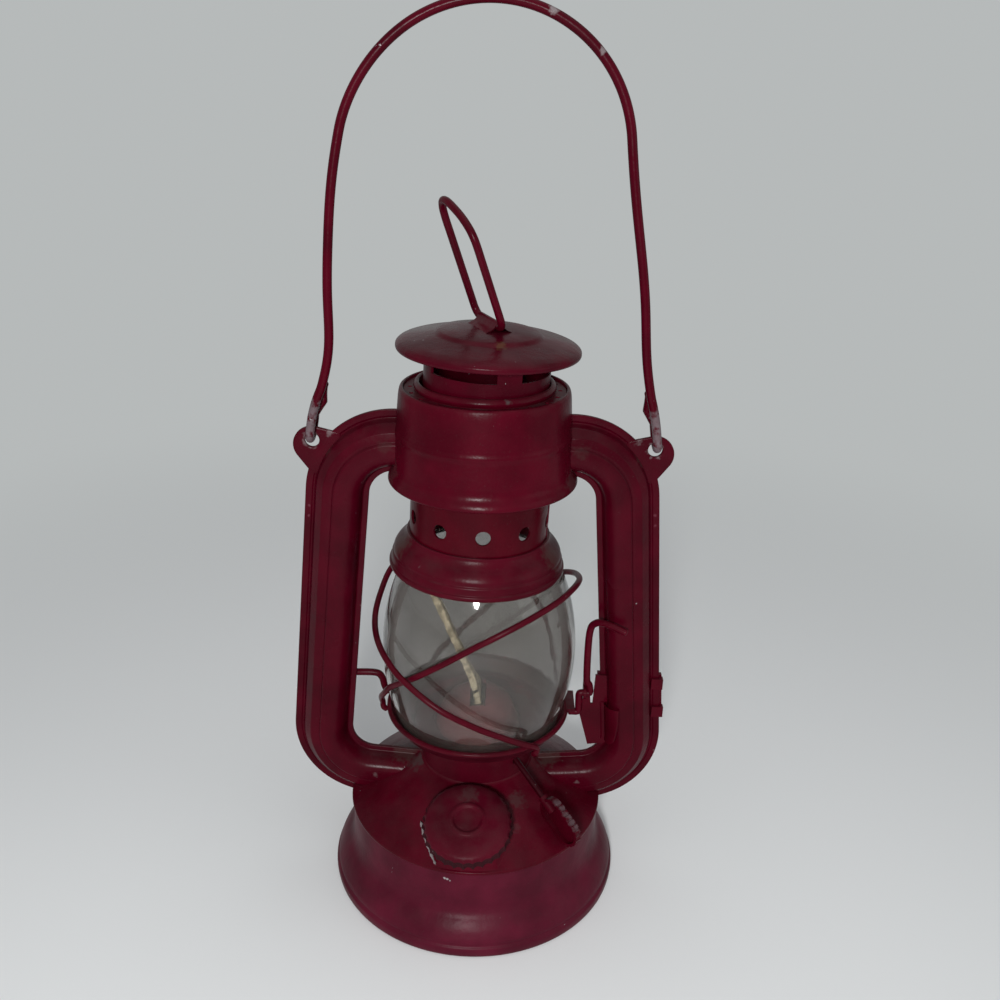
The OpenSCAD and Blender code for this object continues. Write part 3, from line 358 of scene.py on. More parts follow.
# Filler: a pressed boss and a short neck that lean forwards, a rubber ring, and a domed screw cap with a
# crimped skirt and a plain raised ring. Paint has peeled off along the boss's left side, which shows a
# bright metal edge.
SLOPE, FILLER_LEAN, FILLER_AZ = math.radians(31), math.radians(20), math.radians(-93)
FILLER_REACH, FILLER_Z = 33.4, 38.2327
filler_dir = np.array([math.cos(FILLER_AZ), math.sin(FILLER_AZ), 0])
filler_at = FILLER_REACH * filler_dir + np.array([0, 0, FILLER_Z])
filler_up = math.sin(FILLER_LEAN) * filler_dir + np.array([0, 0, math.cos(FILLER_LEAN)])
filler_out = math.cos(FILLER_LEAN) * filler_dir - np.array([0, 0, math.sin(FILLER_LEAN)])
filler_side = np.cross(filler_up, filler_out)


def filler_boss():
    """Boss p(u, k) = (1 - k) T(u) + k F(u) in plan, with the height blended by k^2 (3 - 2k). T is a
    circle of 10.1 mm round the neck. F is a curve of 13.2 + 0.9 cos u mm on the shoulder's cone,
    z = 29.45 + 0.6009 (43.7 - r), kept to r < 43.3."""
    u = np.linspace(0, 2 * np.pi, 120, endpoint=False)[:, None]
    k = np.linspace(0, 1, 12)[None, :, None]
    top = filler_at + 0.5 * filler_up + 10.1 * (np.cos(u) * filler_out + np.sin(u) * filler_side)
    way = np.cos(u) * filler_dir + np.sin(u) * filler_side
    foot = FILLER_REACH * filler_dir + (13.2 + 0.9 * np.cos(u)) * way
    r = np.hypot(foot[:, :1], foot[:, 1:2])
    foot = foot * np.minimum(1, 43.3 / r)
    foot[:, 2:] = 29.45 + (43.7 - np.minimum(r, 43.3)) * math.tan(SLOPE)
    points = (1 - k) * top[:, None] + k * foot[:, None]
    ease = (k**2 * (3 - 2 * k))[..., 0]
    points[..., 2] = (1 - ease) * top[:, 2:] + ease * foot[:, 2:]
    return grid_mesh("filler_boss", points, closed_u=True)


def crimped_cap():
    """Cap p(u, v) = r'(cos u, sin u), z along a rounded outline, with r' = r - s c(u) on the skirt, where
    s grows from 0 at the dome to 1 at the lower edge and c = |sin 15u|^0.8 (0.78 + 0.22 sin(4u + 1)) is
    the crimping."""
    outline = rounded([(0.02, 5.62, 0), (4.2, 5.72, 0.6), (4.7, 6.3, 0.4), (5.6, 6.3, 0.4),
                       (6.2, 5.9, 0.6), (10.6, 5.85, 2), (13.0, 5.2, 1.2), (14.3, 3.9, 1),
                       (14.8, 2.6, 0.8), (15.0, 1.05, 0.3), (14.2, 1.0, 0.2), (13.6, 2.6, 0.6),
                       (12.0, 4.2, 0.6), (10.2, 4.85, 0.3), (0.02, 4.86, 0)], 7)
    u = np.linspace(0, 2 * np.pi, 360, endpoint=False)[:, None]
    r, z = outline[None, :, 0], outline[None, :, 1]
    skirt = np.clip((4.9 - z) / 2.4, 0, 1) * (r > 12.4)
    r = r - skirt * np.abs(np.sin(15 * u)) ** 0.8 * (0.78 + 0.22 * np.sin(4 * u + 1))
    way = np.cos(u)[..., None] * filler_out + np.sin(u)[..., None] * filler_side
    place = filler_at + r[..., None] * way
    piece = grid_mesh("oil_cap", place + (z + 0 * u)[..., None] * filler_up, closed_u=True)
    # The lower skirt's faces take the second material, which is painted darker as shade in the crimps.
    low = np.tile((outline[:-1, 1] < 3.7) & (outline[:-1, 0] > 13.2), len(u))
    piece.data.polygons.foreach_set("material_index", low.astype(np.int32))
    return piece


def peeled_edge():
    """Thin ridge p(s, v) on the shoulder beside the boss: straight stretches between four spots, with a
    low rounded section whose half width is 0.38 + 0.1 sin(9s) + 0.03 sin(23s) mm."""
    spots = np.array([[-17.3, -28.8, 36.6], [-15.95, -33.2, 34.65], [-13.6, -38.1, 32.5],
                      [-11.4, -42.0, 30.65]])
    s = np.linspace(0, 3, 90)
    line = np.stack([np.interp(s, np.arange(4), spots[:, k]) for k in range(3)], -1)
    run = np.gradient(line, axis=0)
    normal = np.stack([line[:, 0] * 0.012, line[:, 1] * 0.012, 0 * s + 0.857], -1)
    across = np.cross(run, normal)
    across /= np.linalg.norm(across, axis=1)[:, None]
    half = 0.38 + 0.1 * np.sin(9 * s) + 0.03 * np.sin(23 * s)
    half = half * np.clip(6 * np.minimum(s, 3 - s), 0.1, 1)
    v = np.array([-1, -0.6, 0, 0.6, 1])[None, :, None]
    rise = 0.4 * (1 - v**2) + 0.35
    points = line[:, None] + v * half[:, None, None] * across[:, None] + rise * normal[:, None]
    return grid_mesh("peeled_edge", points)


dress(filler_boss(), shoulder_paint, "frame", "crimson_enamel")
dress(peeled_edge(), enamel("peeled_enamel", tone=(0.25, 0.22, 0.225), dust=0.1), "frame",
      "crimson_enamel")
cap_grime = [(tuple(filler_at + 6 * filler_up - 9 * filler_out), 4, DUST, 0.5)]
oil_cap = crimped_cap()
lid_paint = enamel("oil_cap_enamel", tone=(0.07, 0.0015, 0.009), dust=0.25, gloss=0.3, marks=cap_grime)
dress(oil_cap, lid_paint, "oil_cap", "crimson_enamel", "filler_cap")
# The skirt's much darker tone is painted shade in the crimped recess; its dust and chips are real.
skirt_shade_paint = enamel("cap_skirt_shade_enamel", tone=(0.03, 0.004, 0.007), dust=0.2, chips=0.72, gloss=0.45)
oil_cap.data.materials.append(skirt_shade_paint)
finish_node("filler_neck", enamel("neck_enamel", dust=0.3))


def two_tone(name, clouds, dark, light, rough, grain, metallic=0.0):
    """A plain surface that wavers between two colours: clouds are a noise's scale and detail, grain is a
    bump layer."""
    material, tree, shader, spots = shade(name)
    tree.links.new(mixed(tree, noise(tree, spots, *clouds), dark, light), shader.inputs["Base Color"])
    shader.inputs["Roughness"].default_value = rough
    shader.inputs["Metallic"].default_value = metallic
    bumps(tree, spots, shader, (grain,))
    return material


rubber = two_tone("gasket_rubber", (400, 3), (0.015, 0.015, 0.015), (0.03, 0.028, 0.027), 0.8,
                  (900, 3, 0.00004))
finish_node("filler_gasket", rubber)

# Burner: collar, base and dome in the same paint, dulled by heat and dust, and a brass tube for the wick.
# Only the collar and, through the glass, the dome's top are in view.
finish_node("burner_collar", enamel("collar_enamel", tone=(0.062, 0.001, 0.007), dust=0.2, gloss=0.34))
finish_node("burner_base", enamel("base_enamel", dust=0.5, gloss=0.45))
finish_node("burner_dome", enamel("dome_enamel", tone=(0.15, 0.04, 0.045), dust=0.4, gloss=0.3))
brass = two_tone("burner_brass", (300, 4), (0.04, 0.027, 0.014), (0.12, 0.085, 0.04), 0.45,
                 (700, 3, 0.00003), metallic=0.9)
finish_node("wick_tube", brass)

# Wick: a flat strip of woven cotton, upright in its tube and leaning left above it, where it has drawn
# together. Its free end goes down into the tube with the key; the stretch in the tube stays full.
WICK_LEAN = math.radians(23)
WICK_OUT = 42
BEND_Z, BEND_R = 67.98, 10
lean_dir = np.array([-math.sin(WICK_LEAN), 0, math.cos(WICK_LEAN)])


def woven_strip(name, x, z, a, run, slim=1.0):
    """Strip p(s, v) along a centre line x(s), z(s) with lean a(s): v goes round a rounded rectangle of
    2.3 by 10.4 slim(s) mm, whose faces are raised by 0.16 |sin(2.2 (s + y)) sin(2.2 (s - y))| for the
    weave."""
    ring = rounded([(-1.12, -5.2, 0.6), (1.12, -5.2, 0.6), (1.12, 5.2, 0.6), (-1.12, 5.2, 0.6)], 5)
    after = np.roll(ring, -1, 0)
    long = np.linalg.norm(after - ring, axis=1) > 1
    dense = np.concatenate([np.linspace(p, q, 22 if wide else 2)[:-1]
                            for p, q, wide in zip(ring, after, long)])
    off, y = dense[:, 0][None], dense[:, 1][None]
    weave = 0.16 * np.abs(np.sin(2.2 * (run[:, None] + y)) * np.sin(2.2 * (run[:, None] - y)))
    off = off + np.sign(off) * (weave - 0.1)
    wide = y * np.broadcast_to(slim, run.shape)[:, None]
    points = np.stack([x[:, None] + off * np.cos(a)[:, None], wide,
                       z[:, None] + off * np.sin(a)[:, None]], -1)
    return grid_mesh(name, points, closed_v=True)


cotton = two_tone("wick_cotton", (500, 5), (0.2, 0.16, 0.095), (0.5, 0.43, 0.29), 0.95, (2200, 3, 0.0001))
free = np.linspace(0.5, WICK_OUT, 240)
bend_end = np.array([-BEND_R + BEND_R * math.cos(WICK_LEAN), 0, BEND_Z + BEND_R * math.sin(WICK_LEAN)])
raised = woven_strip("wick_raised", bend_end[0] + free * lean_dir[0], bend_end[2] + free * lean_dir[2],
                     np.full_like(free, WICK_LEAN), free, 0.28 + 0.72 * np.exp(-free / 2.5))
dress(raised, cotton, "wick_strip", "wick_cotton", "wick")
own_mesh(raised)
arc_run = np.linspace(0, BEND_R * WICK_LEAN, 16)
low_run = np.linspace(-57.9, -0.1, 120)
low_x = np.concatenate([0 * low_run, -BEND_R + BEND_R * np.cos(arc_run / BEND_R)])
low_z = np.concatenate([BEND_Z + low_run, BEND_Z + BEND_R * np.sin(arc_run / BEND_R)])
low_a = np.concatenate([0 * low_run, arc_run / BEND_R])
dress(woven_strip("wick_in_tube", low_x, low_z, low_a, np.concatenate([low_run, arc_run])), cotton,
      "frame", "wick_cotton")

# Wick key: a stamped oval with a knurled rim on the end of a plain spindle.
# The paint is worn off the outer rim, which shows grey metal.
spindle_dir = np.array([0.6061, -0.6061, -0.515])
key_edge = np.array([28.57, -28.57, 38.25]) + 5 * np.array([0.364, -0.364, 0.857])
key_wear = [(tuple(key_edge + t * spindle_dir), 1.8, (0.1, 0.075, 0.082), 0.6)
            for t in (-5, -2.5, 0, 2.5, 5, 7.5)]
# The spindle's near-black tone is painted shade: it lies in shadow.
finish_node("wick_spindle", enamel("spindle_shade_enamel", tone=(0.03, 0.0005, 0.0035), dust=0.05))
finish_node("wick_key", enamel("key_enamel", tone=(0.055, 0.0008, 0.006), dust=0.1, marks=key_wear))

# Side tubes: each is a front and a rear pressing, joined along flat flanges. The pressed face is round on
# the globe's side and has a crease and a flat strip on the outer side. Small nicks in the outer flanges
# are painted as lighter spots, a painted highlight in place of their dents.
LEAN = math.radians(4.9)
TOP_R, LOW_R, LEG_L, TAIL_L, HEAD_L = 18.5, 18.0, 87.56, 17.0, 0.5
FACE_U, FACE_WIDE, FACE_BASE, FACE_HIGH = -3.4, 4.5, 0.75, 5.9
TUBE_TONE = (0.058, 0.0006, 0.0064)
BEND = np.array([27.4, 140.8])
leg_head = BEND + TOP_R * np.array([math.cos(LEAN), math.sin(LEAN)])


def tube_line(s):
    """Centre line of the right tube at a length s from the crown: a short head, a quarter circle of
    radius 18.5, a leg, a quarter circle of radius 18 and a tail, all leant by 4.9 degrees. Gives (x, z)
    and the outward normal."""
    s = s - HEAD_L
    top, low = TOP_R * np.pi / 2, LOW_R * np.pi / 2
    a = np.where(s < top, np.pi / 2 - np.clip(s, 0, top) / TOP_R,
                 np.clip((top + LEG_L - s) / LOW_R, -np.pi / 2, 0))
    on_top = s < top
    on_leg = (s >= top) & (s < top + LEG_L)
    on_low = (s >= top + LEG_L) & (s < top + LEG_L + low)
    tail = np.clip(s - top - LEG_L - low, 0, None)
    x = np.select([on_top, on_leg, on_low],
                  [TOP_R * (np.cos(a) - 1) + np.minimum(s, 0), 0 * s, LOW_R * (np.cos(a) - 1)],
                  -LOW_R - tail)
    y = np.select([on_top, on_leg, on_low], [TOP_R * np.sin(a), top - s, -LEG_L + LOW_R * np.sin(a)],
                  -LEG_L - LOW_R)
    c, d = math.cos(LEAN), math.sin(LEAN)
    place = np.stack([leg_head[0] + x * c - y * d, leg_head[1] + x * d + y * c], -1)
    return place, np.stack([np.cos(a) * c - np.sin(a) * d, np.cos(a) * d + np.sin(a) * c], -1)


def tube_half(name, side, half):
    """Half tube p(s, v): the section (u, depth) is carried along tube_line, u along its normal. Each
    lengthwise line ends where it meets the shoulder's cone or the collar."""
    bulge = [(FACE_U - FACE_WIDE * math.cos(a), FACE_BASE + FACE_HIGH * math.sin(a), 1.4)
             for a in np.radians((12, 28, 44, 60, 76, 92))]
    section = rounded([(-10, 0.04, 0), (-10, 0.62, 0.25), (-8.2, 0.66, 0.4), *bulge, (0.4, 6.5, 0.4),
                       (1.0, 5.5, 0.2), (1.6, 5.6, 0.2), (3.9, 5.25, 0.3), (4.5, 4.6, 0.3),
                       (6.3, 2.7, 0.4), (6.9, 0.8, 0.3), (7.2, 0.3, 0.2), (7.6, 0.3, 0.2),
                       (8.0, 0.62, 0.2), (10, 0.62, 0.25), (10, 0.04, 0)], 5)
    u, depth = section[None, :, 0], section[None, :, 1]
    s = np.linspace(0, HEAD_L + (TOP_R + LOW_R) * np.pi / 2 + LEG_L + TAIL_L, 900)
    place, normal = tube_line(s)
    x = place[:, None, 0] + u * normal[:, None, 0]
    z = place[:, None, 1] + u * normal[:, None, 1]
    r = np.hypot(x, depth)
    sunk = ((z < 29.55 + (43.7 - r) * 0.6009) & (r < 43.75) | (r < 19.2)) & (s[:, None] > 90)
    ends = np.where(sunk.any(0), s[np.argmax(sunk, 0)], s[-1])
    along = np.linspace(0, 1, 260)[:, None] * ends[None, :]
    place, normal = tube_line(along)
    points = np.stack([side * (place[..., 0] + u * normal[..., 0]), half * (depth + 0 * along),
                       place[..., 1] + u * normal[..., 1]], -1)
    return grid_mesh(name, points, closed_v=True)


for side, side_name in ((-1, "left"), (1, "right")):
    for half, half_name in ((-1, "front"), (1, "rear")):
        tube = tube_half(f"{side_name}_{half_name}_pressing", side, half)
        # Soil and a bare spot are real; the two lighter spots on the outer flange are a painted highlight
        # of nicks.
        tube_marks = [((side * 25, 0, 43), 6, SOIL, 0.7), ((side * 30, -6, 159), 3, SOIL, 0.3),
                      ((side * 48, 0, 155), 3, SOIL, 0.5), ((side * 35.3, -7, 37.5), 1.2, BARE, 0.2),
                      ((side * 54.9, -0.7, 136.7), 0.6, (0.13, 0.035, 0.05), 0.6),
                      ((side * 55.2, -0.7, 133.2), 0.6, (0.13, 0.035, 0.05), 0.6)]
        tube_paint = enamel(f"{side_name}_{half_name}_enamel", tone=TUBE_TONE, dust=0.2, marks=tube_marks)
        dress(tube, tube_paint, "frame", "crimson_enamel", f"{side_name}_tube_{half_name}")

# Ears: rounded lugs of the outer flanges, at the top bends, each with a small hole for the bail.
# The bail has rubbed them down to grey metal round the hole.
EAR_TURN = math.radians(24)
EAR = BEND + 28.5 * np.array([math.cos(EAR_TURN), math.sin(EAR_TURN)]) + np.array([-0.3, 4.65])
EAR_HOLE = EAR + np.array([0, 1.6])


def ear_lug(name, side):
    """Lug p(u, v): v goes round a rounded slice from the hole's circle of 2.25 mm to the lug's outline, a
    circle of 6 mm about EAR with straight sides that run in to the flange, at u from the direction
    straight out of the bend."""
    turn = np.linspace(-180, 180, 120, endpoint=False)[:, None]
    out = np.minimum(9.6, 6 / np.cos(np.radians(np.clip(np.abs(turn) - 70, 0, 60))))
    slice_at = rounded([(0, -0.7, 0.3), (1, -0.7, 0.3), (1, 0.7, 0.3), (0, 0.7, 0.3)], 4)
    t = np.radians(turn + 33.3)
    way = np.stack([np.cos(t), np.sin(t)], -1)
    inner, outer = EAR_HOLE + 2.25 * way, EAR + out[..., None] * way
    spot = inner + slice_at[None, :, :1] * (outer - inner)
    points = np.stack([side * spot[..., 0], slice_at[None, :, 1] + 0 * t, spot[..., 1]], -1)
    return grid_mesh(name, points, True, True)


for side, side_name in ((-1, "left"), (1, "right")):
    rubbed = [((side * EAR_HOLE[0], 0, EAR_HOLE[1]), 3, BARE, 0.4),
              ((side * (EAR[0] - 5.5), 0, EAR[1] + 4), 1.5, BARE, 0.3)]
    ear = ear_lug(f"{side_name}_ear", side)
    dress(ear, enamel(f"{side_name}_ear_enamel", tone=TUBE_TONE, marks=rubbed), "frame", "crimson_enamel")

# Crown: a drum with a flared lower lip, a bead round its middle and a rounded top edge, closed by a
# vented gutter. Dust lies thick in the gutter, and a blob of bare solder stands by the chimney's neck.
drum = turned("crown_wall", [(29.1, 147.7, 0.3), (29.7, 148.3, 0.5), (29.3, 149.7, 0.8),
                             (28.1, 151.4, 1.2), (27.75, 153.4, 1.2), (27.25, 161.9, 0.6),
                             (27.55, 163.3, 0.8), (27.1, 164.7, 0.6), (26.35, 175.4, 1.4),
                             (25.9, 177.4, 1.1), (24.9, 177.5, 0.3), (24.75, 176.2, 0.2),
                             (25.4, 174, 0.4), (26.7, 153, 0.5), (28.3, 149.3, 0.5),
                             (28.4, 147.7, 0.2)], count=240, wave=0.09)
drum_marks = [((27, -9, 149.5), 6, DUST, 0.5), ((-27, -8, 151), 5, DUST, 0.35),
              ((29, 0, 152), 5, DUST, 0.5), ((-29, 0, 154), 5, DUST, 0.4)]
dress(drum, enamel("drum_enamel", dust=0.15, marks=drum_marks), "frame", "crimson_enamel", "crown_drum")
solder = [((7.2, -20.6, 179), 1.4, (0.07, 0.058, 0.058), 0.75)]
finish_node("crown_top", enamel("gutter_enamel", tone=(0.078, 0.0015, 0.009), dust=0.7, gloss=0.32,
                                marks=solder))
finish_node("crown_floor", enamel("crown_floor_enamel", dust=0.2))
crown_bead = turned("crown_bead", [(19.95, 176.7, 0.2), (21.2, 176.7, 0.3), (21.8, 177.7, 0.7),
                                   (21.3, 179, 0.7), (20.5, 179.4, 0.4), (19.95, 179.1, 0.2)], wave=0.03)
dress(crown_bead, enamel("crown_bead_enamel", dust=0.3, marks=solder), "frame", "crimson_enamel")


# Chimney spring: a coil of plain wire round the neck inside the crown; it presses the chimney down. Its
# lower stretch shortens as the chimney is lifted off the globe, its upper one as the globe lifts both;
# here both stretches are rigid, the lower one riding on the globe's carrier and the upper one in place.
def wire(name, line, radius, sides=14):
    """Round wire p(s, v) = c(s) + radius (cos v n(s) + sin v b(s)), with n carried along the line c with
    the least turning. Each end is closed by three rings that shrink to a point."""
    line = np.array(line, float)
    run = np.gradient(line, axis=0)
    run /= np.linalg.norm(run, axis=1)[:, None]
    last = np.array([0, 0, 1.0]) if abs(run[0, 2]) < 0.9 else np.array([1.0, 0, 0])
    normals = []
    for d in run:
        last = last - d * (last @ d)
        last = last / np.linalg.norm(last)
        normals.append(last)
    n = np.array(normals)
    v = np.linspace(0, 2 * np.pi, sides, endpoint=False)[None, :, None]
    ring = np.cos(v) * n[:, None] + np.sin(v) * np.cross(run, n)[:, None]
    cap = np.array([0.5, 1.0, 1.56])[:, None, None]
    start = line[0] + radius * (np.cos(cap) * ring[:1] - 0.5 * np.sin(cap) * run[0])
    end = line[-1] + radius * (np.cos(cap) * ring[-1:] + 0.5 * np.sin(cap) * run[-1])
    return grid_mesh(name, np.concatenate([start[::-1], line[:, None] + radius * ring, end]),
                     closed_v=True)


TILT = math.radians(1.8)
TILT_Z = 164.7


def tilted(piece):
    """The mesh turned by 1.8 degrees about +Y at z = 164.7 mm, as the chimney leans."""
    centre = Matrix.Translation((0, 0, TILT_Z * MM))
    piece.data.transform(centre @ Matrix.Rotation(TILT, 4, "Y") @ centre.inverted())
    return piece


steel = two_tone("plain_steel", (260, 5), (0.2, 0.17, 0.15), (0.5, 0.48, 0.46), 0.42, (800, 3, 0.00004),
                 metallic=0.85)
COIL_Z = np.array([151.35, 162.95, 174.55])
COIL_R, COIL_TURNS = 20.6, 2.5
for name, done, low_z, high_z in (("low_coil", 0, *COIL_Z[:2]), ("high_coil", COIL_TURNS, *COIL_Z[1:])):
    part = np.linspace(0, 1, 130)
    angle = 2 * np.pi * (done + COIL_TURNS * part)
    coil = np.stack([COIL_R * np.cos(angle), COIL_R * np.sin(angle), low_z + (high_z - low_z) * part], -1)
    coil_piece = tilted(wire(name, coil, 0.5, 10))
    if name == "low_coil":
        dress(coil_piece, steel, "carrier", "plain_steel")
        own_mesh(coil_piece)
    else:
        coil_piece.data.materials.append(steel)
        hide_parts("chimney_spring")
        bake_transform(coil_piece)

# Chimney: hood over the globe, tube with air holes and a side seam, neck with windows, and a cap, all
# tilted to the right. The hood's shelf is dusty; the cap has a pressed ridge, scuffs on both sides and a
# rusty patch in front of its loop.
hood = tilted(turned("hood", [(22.85, 130.2, 0.2), (22.9, 129.2, 0.8), (23.9, 127.5, 1.2),
                              (25.8, 126, 1.8), (27, 123.9, 1.4), (26.9, 122.7, 0.3),
                              (27.4, 122.2, 0.3), (27.65, 120.6, 0.6), (27.6, 120, 0.2),
                              (28.15, 119.7, 0.3), (28.3, 118.9, 0.4), (28, 118.2, 0.2),
                              (27.65, 118.2, 0.1), (26.9, 119.9, 0.4), (26.6, 121.8, 0.4),
                              (26.1, 123.4, 1), (25, 125.1, 1.2), (23.2, 126.6, 1), (22.05, 128.6, 0.5),
                              (22.05, 130.2, 0.1)],
                     count=240, wave=0.07))
hood_marks = [((-17.9, -19.6, 125.1), 0.9, BARE, 0.6), ((-25, -6, 126), 8, (0.06, 0.036, 0.03), 0.6),
              ((23, -9, 126), 7, (0.06, 0.036, 0.03), 0.5)]
hood_paint = enamel("hood_enamel", tone=(0.066, 0.0014, 0.008), dust=0.3, gloss=0.22, marks=hood_marks)
dress(hood, hood_paint, "chimney", "crimson_enamel", "chimney_hood")
finish_node("chimney_tube", enamel("chimney_enamel", tone=(0.06, 0.0004, 0.0052), dust=0.15))
finish_node("chimney_neck", enamel("neck_top_enamel", tone=(0.06, 0.0007, 0.0068), dust=0.2,
                                   marks=solder))
seam_az = math.radians(-10) + np.array([-0.035, -0.03, 0, 0.03, 0.035])[:, None]
seam_r = np.array([21.9, 22.18, 22.28, 22.18, 21.9])[:, None]
seam_z = np.linspace(130.6, 148.6, 10)[None, :]
side_seam = np.stack([seam_r * np.cos(seam_az) + 0 * seam_z, seam_r * np.sin(seam_az) + 0 * seam_z,
                      seam_z + 0 * seam_r], -1)
seam_bare = [((21.5, -3.8, 134), 1.4, BARE, 0.7), ((21.6, -3.8, 138), 1.2, BARE, 0.6),
             ((21.7, -3.8, 143), 1.5, BARE, 0.7)]
dress(tilted(grid_mesh("chimney_side_seam", side_seam)), enamel("side_seam_enamel", marks=seam_bare),
      "chimney", "crimson_enamel")
cap = tilted(turned("cap_dome", [(0.02, 195.5, 0), (7, 195.35, 2), (12.4, 194.9, 1.5),
                                 (15.2, 194.35, 0.5), (16.3, 193.35, 0.5), (20.6, 192.5, 2),
                                 (25, 191.6, 1.2), (27, 190.8, 0.6), (27.8, 190, 0.4),
                                 (27.85, 188.9, 0.4), (27.4, 188.35, 0.3), (26.7, 188.6, 0.3),
                                 (26.4, 190, 0.5), (20.2, 191.6, 1), (15.6, 192.6, 0.6),
                                 (14.4, 193.6, 0.6), (0.02, 194.65, 0)], count=240, wave=0.07))
cap_marks = [((-10.5, -2, 194.8), 4, (0.08, 0.055, 0.058), 0.4),
             ((15.5, -1, 194), 4, (0.08, 0.055, 0.058), 0.35),
             ((4.6, -15.5, 193.6), 2.5, (0.075, 0.036, 0.016), 0.6), ((0, 13, 193.5), 10, SOIL, 0.5),
             ((-19, 8, 192.5), 8, SOIL, 0.5), ((21, 7, 192), 8, SOIL, 0.55)]
cap_paint = enamel("cap_enamel", tone=(0.062, 0.0016, 0.008), dust=0.18, chips=0.76, gloss=0.2,
                   marks=cap_marks)
dress(cap, cap_paint, "chimney", "crimson_enamel", "top_cap")
LOOP_AZ = math.radians(-66)
LOOP_Z = 197.05
along_loop = np.array([math.cos(LOOP_AZ), math.sin(LOOP_AZ), 0])
across_loop = np.array([-math.sin(LOOP_AZ), math.cos(LOOP_AZ), 0])
tent = rounded([(-4.4, -2.0, 0.4), (-1.8, -0.7, 0.8), (0, 2.0, 1.4), (1.8, -0.7, 0.8), (4.4, -2.0, 0.4),
                (4.0, -2.5, 0.2), (1.35, -0.8, 0.8), (0, 1.3, 1.2), (-1.35, -0.8, 0.8),
                (-4.0, -2.5, 0.2)], 5)
reach = np.linspace(-7, 7, 15)[:, None, None]
strap_z = LOOP_Z + 0.1 + tent[None, :, 1:]
strap = reach * along_loop + tent[None, :, :1] * across_loop + strap_z * np.array([0, 0, 1])
dress(tilted(grid_mesh("loop_strap", strap, False, True)), enamel("strap_enamel", dust=0.1), "chimney",
      "crimson_enamel")


# Lift loop: one wire bent to a narrow U that pivots in the cap's tunnel, leaning to the left. Its top is
# a little askew, lower on the near side. Painted like the rest, with a few chips.
def arc(centre, radius, first, second, start, stop, count):
    """Points centre + radius (cos t first + sin t second), t from start to stop in degrees."""
    t = np.radians(np.linspace(start, stop, count))[:, None]
    return np.array(centre) + radius * (np.cos(t) * np.array(first) + np.sin(t) * np.array(second))


def through(spots, steps):
    """Smooth curve through spots: on each stretch the cubic with slopes half the step from the spot
    before to the one after."""
    p = np.array(spots, float)
    ends = np.concatenate([p[:1], p, p[-1:]])
    a, b, c, d = (ends[k : len(p) - 1 + k, None] for k in range(4))
    t = (np.arange(steps) / steps)[None, :, None]
    line = 0.5 * (2 * b + (c - a) * t + (2 * a - 5 * b + 4 * c - d) * t**2
                  + (3 * b - a - 3 * c + d) * t**3)
    return np.concatenate([line.reshape(-1, 3), p[-1:]])


LOOP_LEAN = math.radians(22)
LOOP_HALF, LOOP_BEND = 10, 3
loop_up = np.array([0, 0, math.cos(LOOP_LEAN)]) - across_loop * math.sin(LOOP_LEAN)
loop_foot = np.array([0, 0, LOOP_Z])
near_bend = loop_foot + along_loop * (LOOP_HALF - LOOP_BEND) + loop_up * LOOP_BEND
far_bend = loop_foot - along_loop * (LOOP_HALF - LOOP_BEND) + loop_up * LOOP_BEND
loop_spots = np.array([(10, 24), (9.7, 27), (8.3, 29.9), (5, 32.8), (0.6, 35), (-3.8, 36.4),
                       (-7.2, 36.1), (-9.3, 33.8), (-10, 30.4), (-10, 27)])
loop_line = np.concatenate([
    loop_foot + along_loop * np.linspace(0, 6.9, 12)[:, None],
    arc(near_bend, LOOP_BEND, along_loop, loop_up, -90, 0, 14),
    loop_foot + along_loop * LOOP_HALF + loop_up * np.linspace(3.3, 23.4, 26)[:, None],
    through(loop_foot + loop_spots[:, :1] * along_loop + loop_spots[:, 1:] * loop_up, 6),
    loop_foot - along_loop * LOOP_HALF + loop_up * np.linspace(26.4, 3.3, 28)[:, None],
    arc(far_bend, LOOP_BEND, -along_loop, loop_up, 0, -90, 14),
    loop_foot - along_loop * np.linspace(6.9, 0, 12)[:, None]])
loop_piece = tilted(wire("loop_wire", loop_line, 1.15))
dress(loop_piece, enamel("loop_enamel", dust=0.15), "loop", "crimson_enamel", "lift_loop")

# Bail: one wire, a round arch with bent legs, each end hooked through the ear and turned back.
# The paint has gone from the eyes, which are grey, and is chipped along the arch.
BAR_Z = EAR_HOLE[1] + 3.35
LEG_TILT = 8.9
BAIL_LEAN = math.radians(LEG_TILT)
ARCH_R, HOOK_R = 40, 2.9
leg_l = (EAR[0] - ARCH_R * math.cos(BAIL_LEAN)) / math.sin(BAIL_LEAN)
arch_z = BAR_Z + leg_l * math.cos(BAIL_LEAN) - ARCH_R * math.sin(BAIL_LEAN)
leg_up = np.array([-math.sin(BAIL_LEAN), 0, math.cos(BAIL_LEAN)])
eye = np.array([EAR[0], 0, BAR_Z])
tail = np.linspace(15, 2.5, 26)[:, None]
tail_back = np.interp(tail, (3, 13), (HOOK_R, 0.1)) * np.array([0, 1, 0])
tail_in = np.interp(tail, (4.5, 9, 14), (0, 1.7, 0.2)) * np.array([-1, 0, 0])
right_half = np.concatenate([
    eye + tail * leg_up + tail_back + tail_in,
    eye + np.array([0, HOOK_R, 0]) + leg_up * np.linspace(2.2, 0.3, 5)[:, None],
    arc(eye, HOOK_R, (0, 1, 0), -leg_up, 0, 180, 24),
    eye + np.array([0, -HOOK_R, 0]) + leg_up * np.linspace(0.4, leg_l - 0.2, 60)[:, None],
    arc((0, -HOOK_R, arch_z), ARCH_R, (1, 0, 0), (0, 0, 1), LEG_TILT, 90, 60)])
left_half = right_half[::-1] * np.array([-1, 1, 1])
bail_line = np.concatenate([right_half, left_half[1:]])
bow = np.exp(-(((bail_line[:, 2] - BAR_Z - 76) / 26) ** 2))
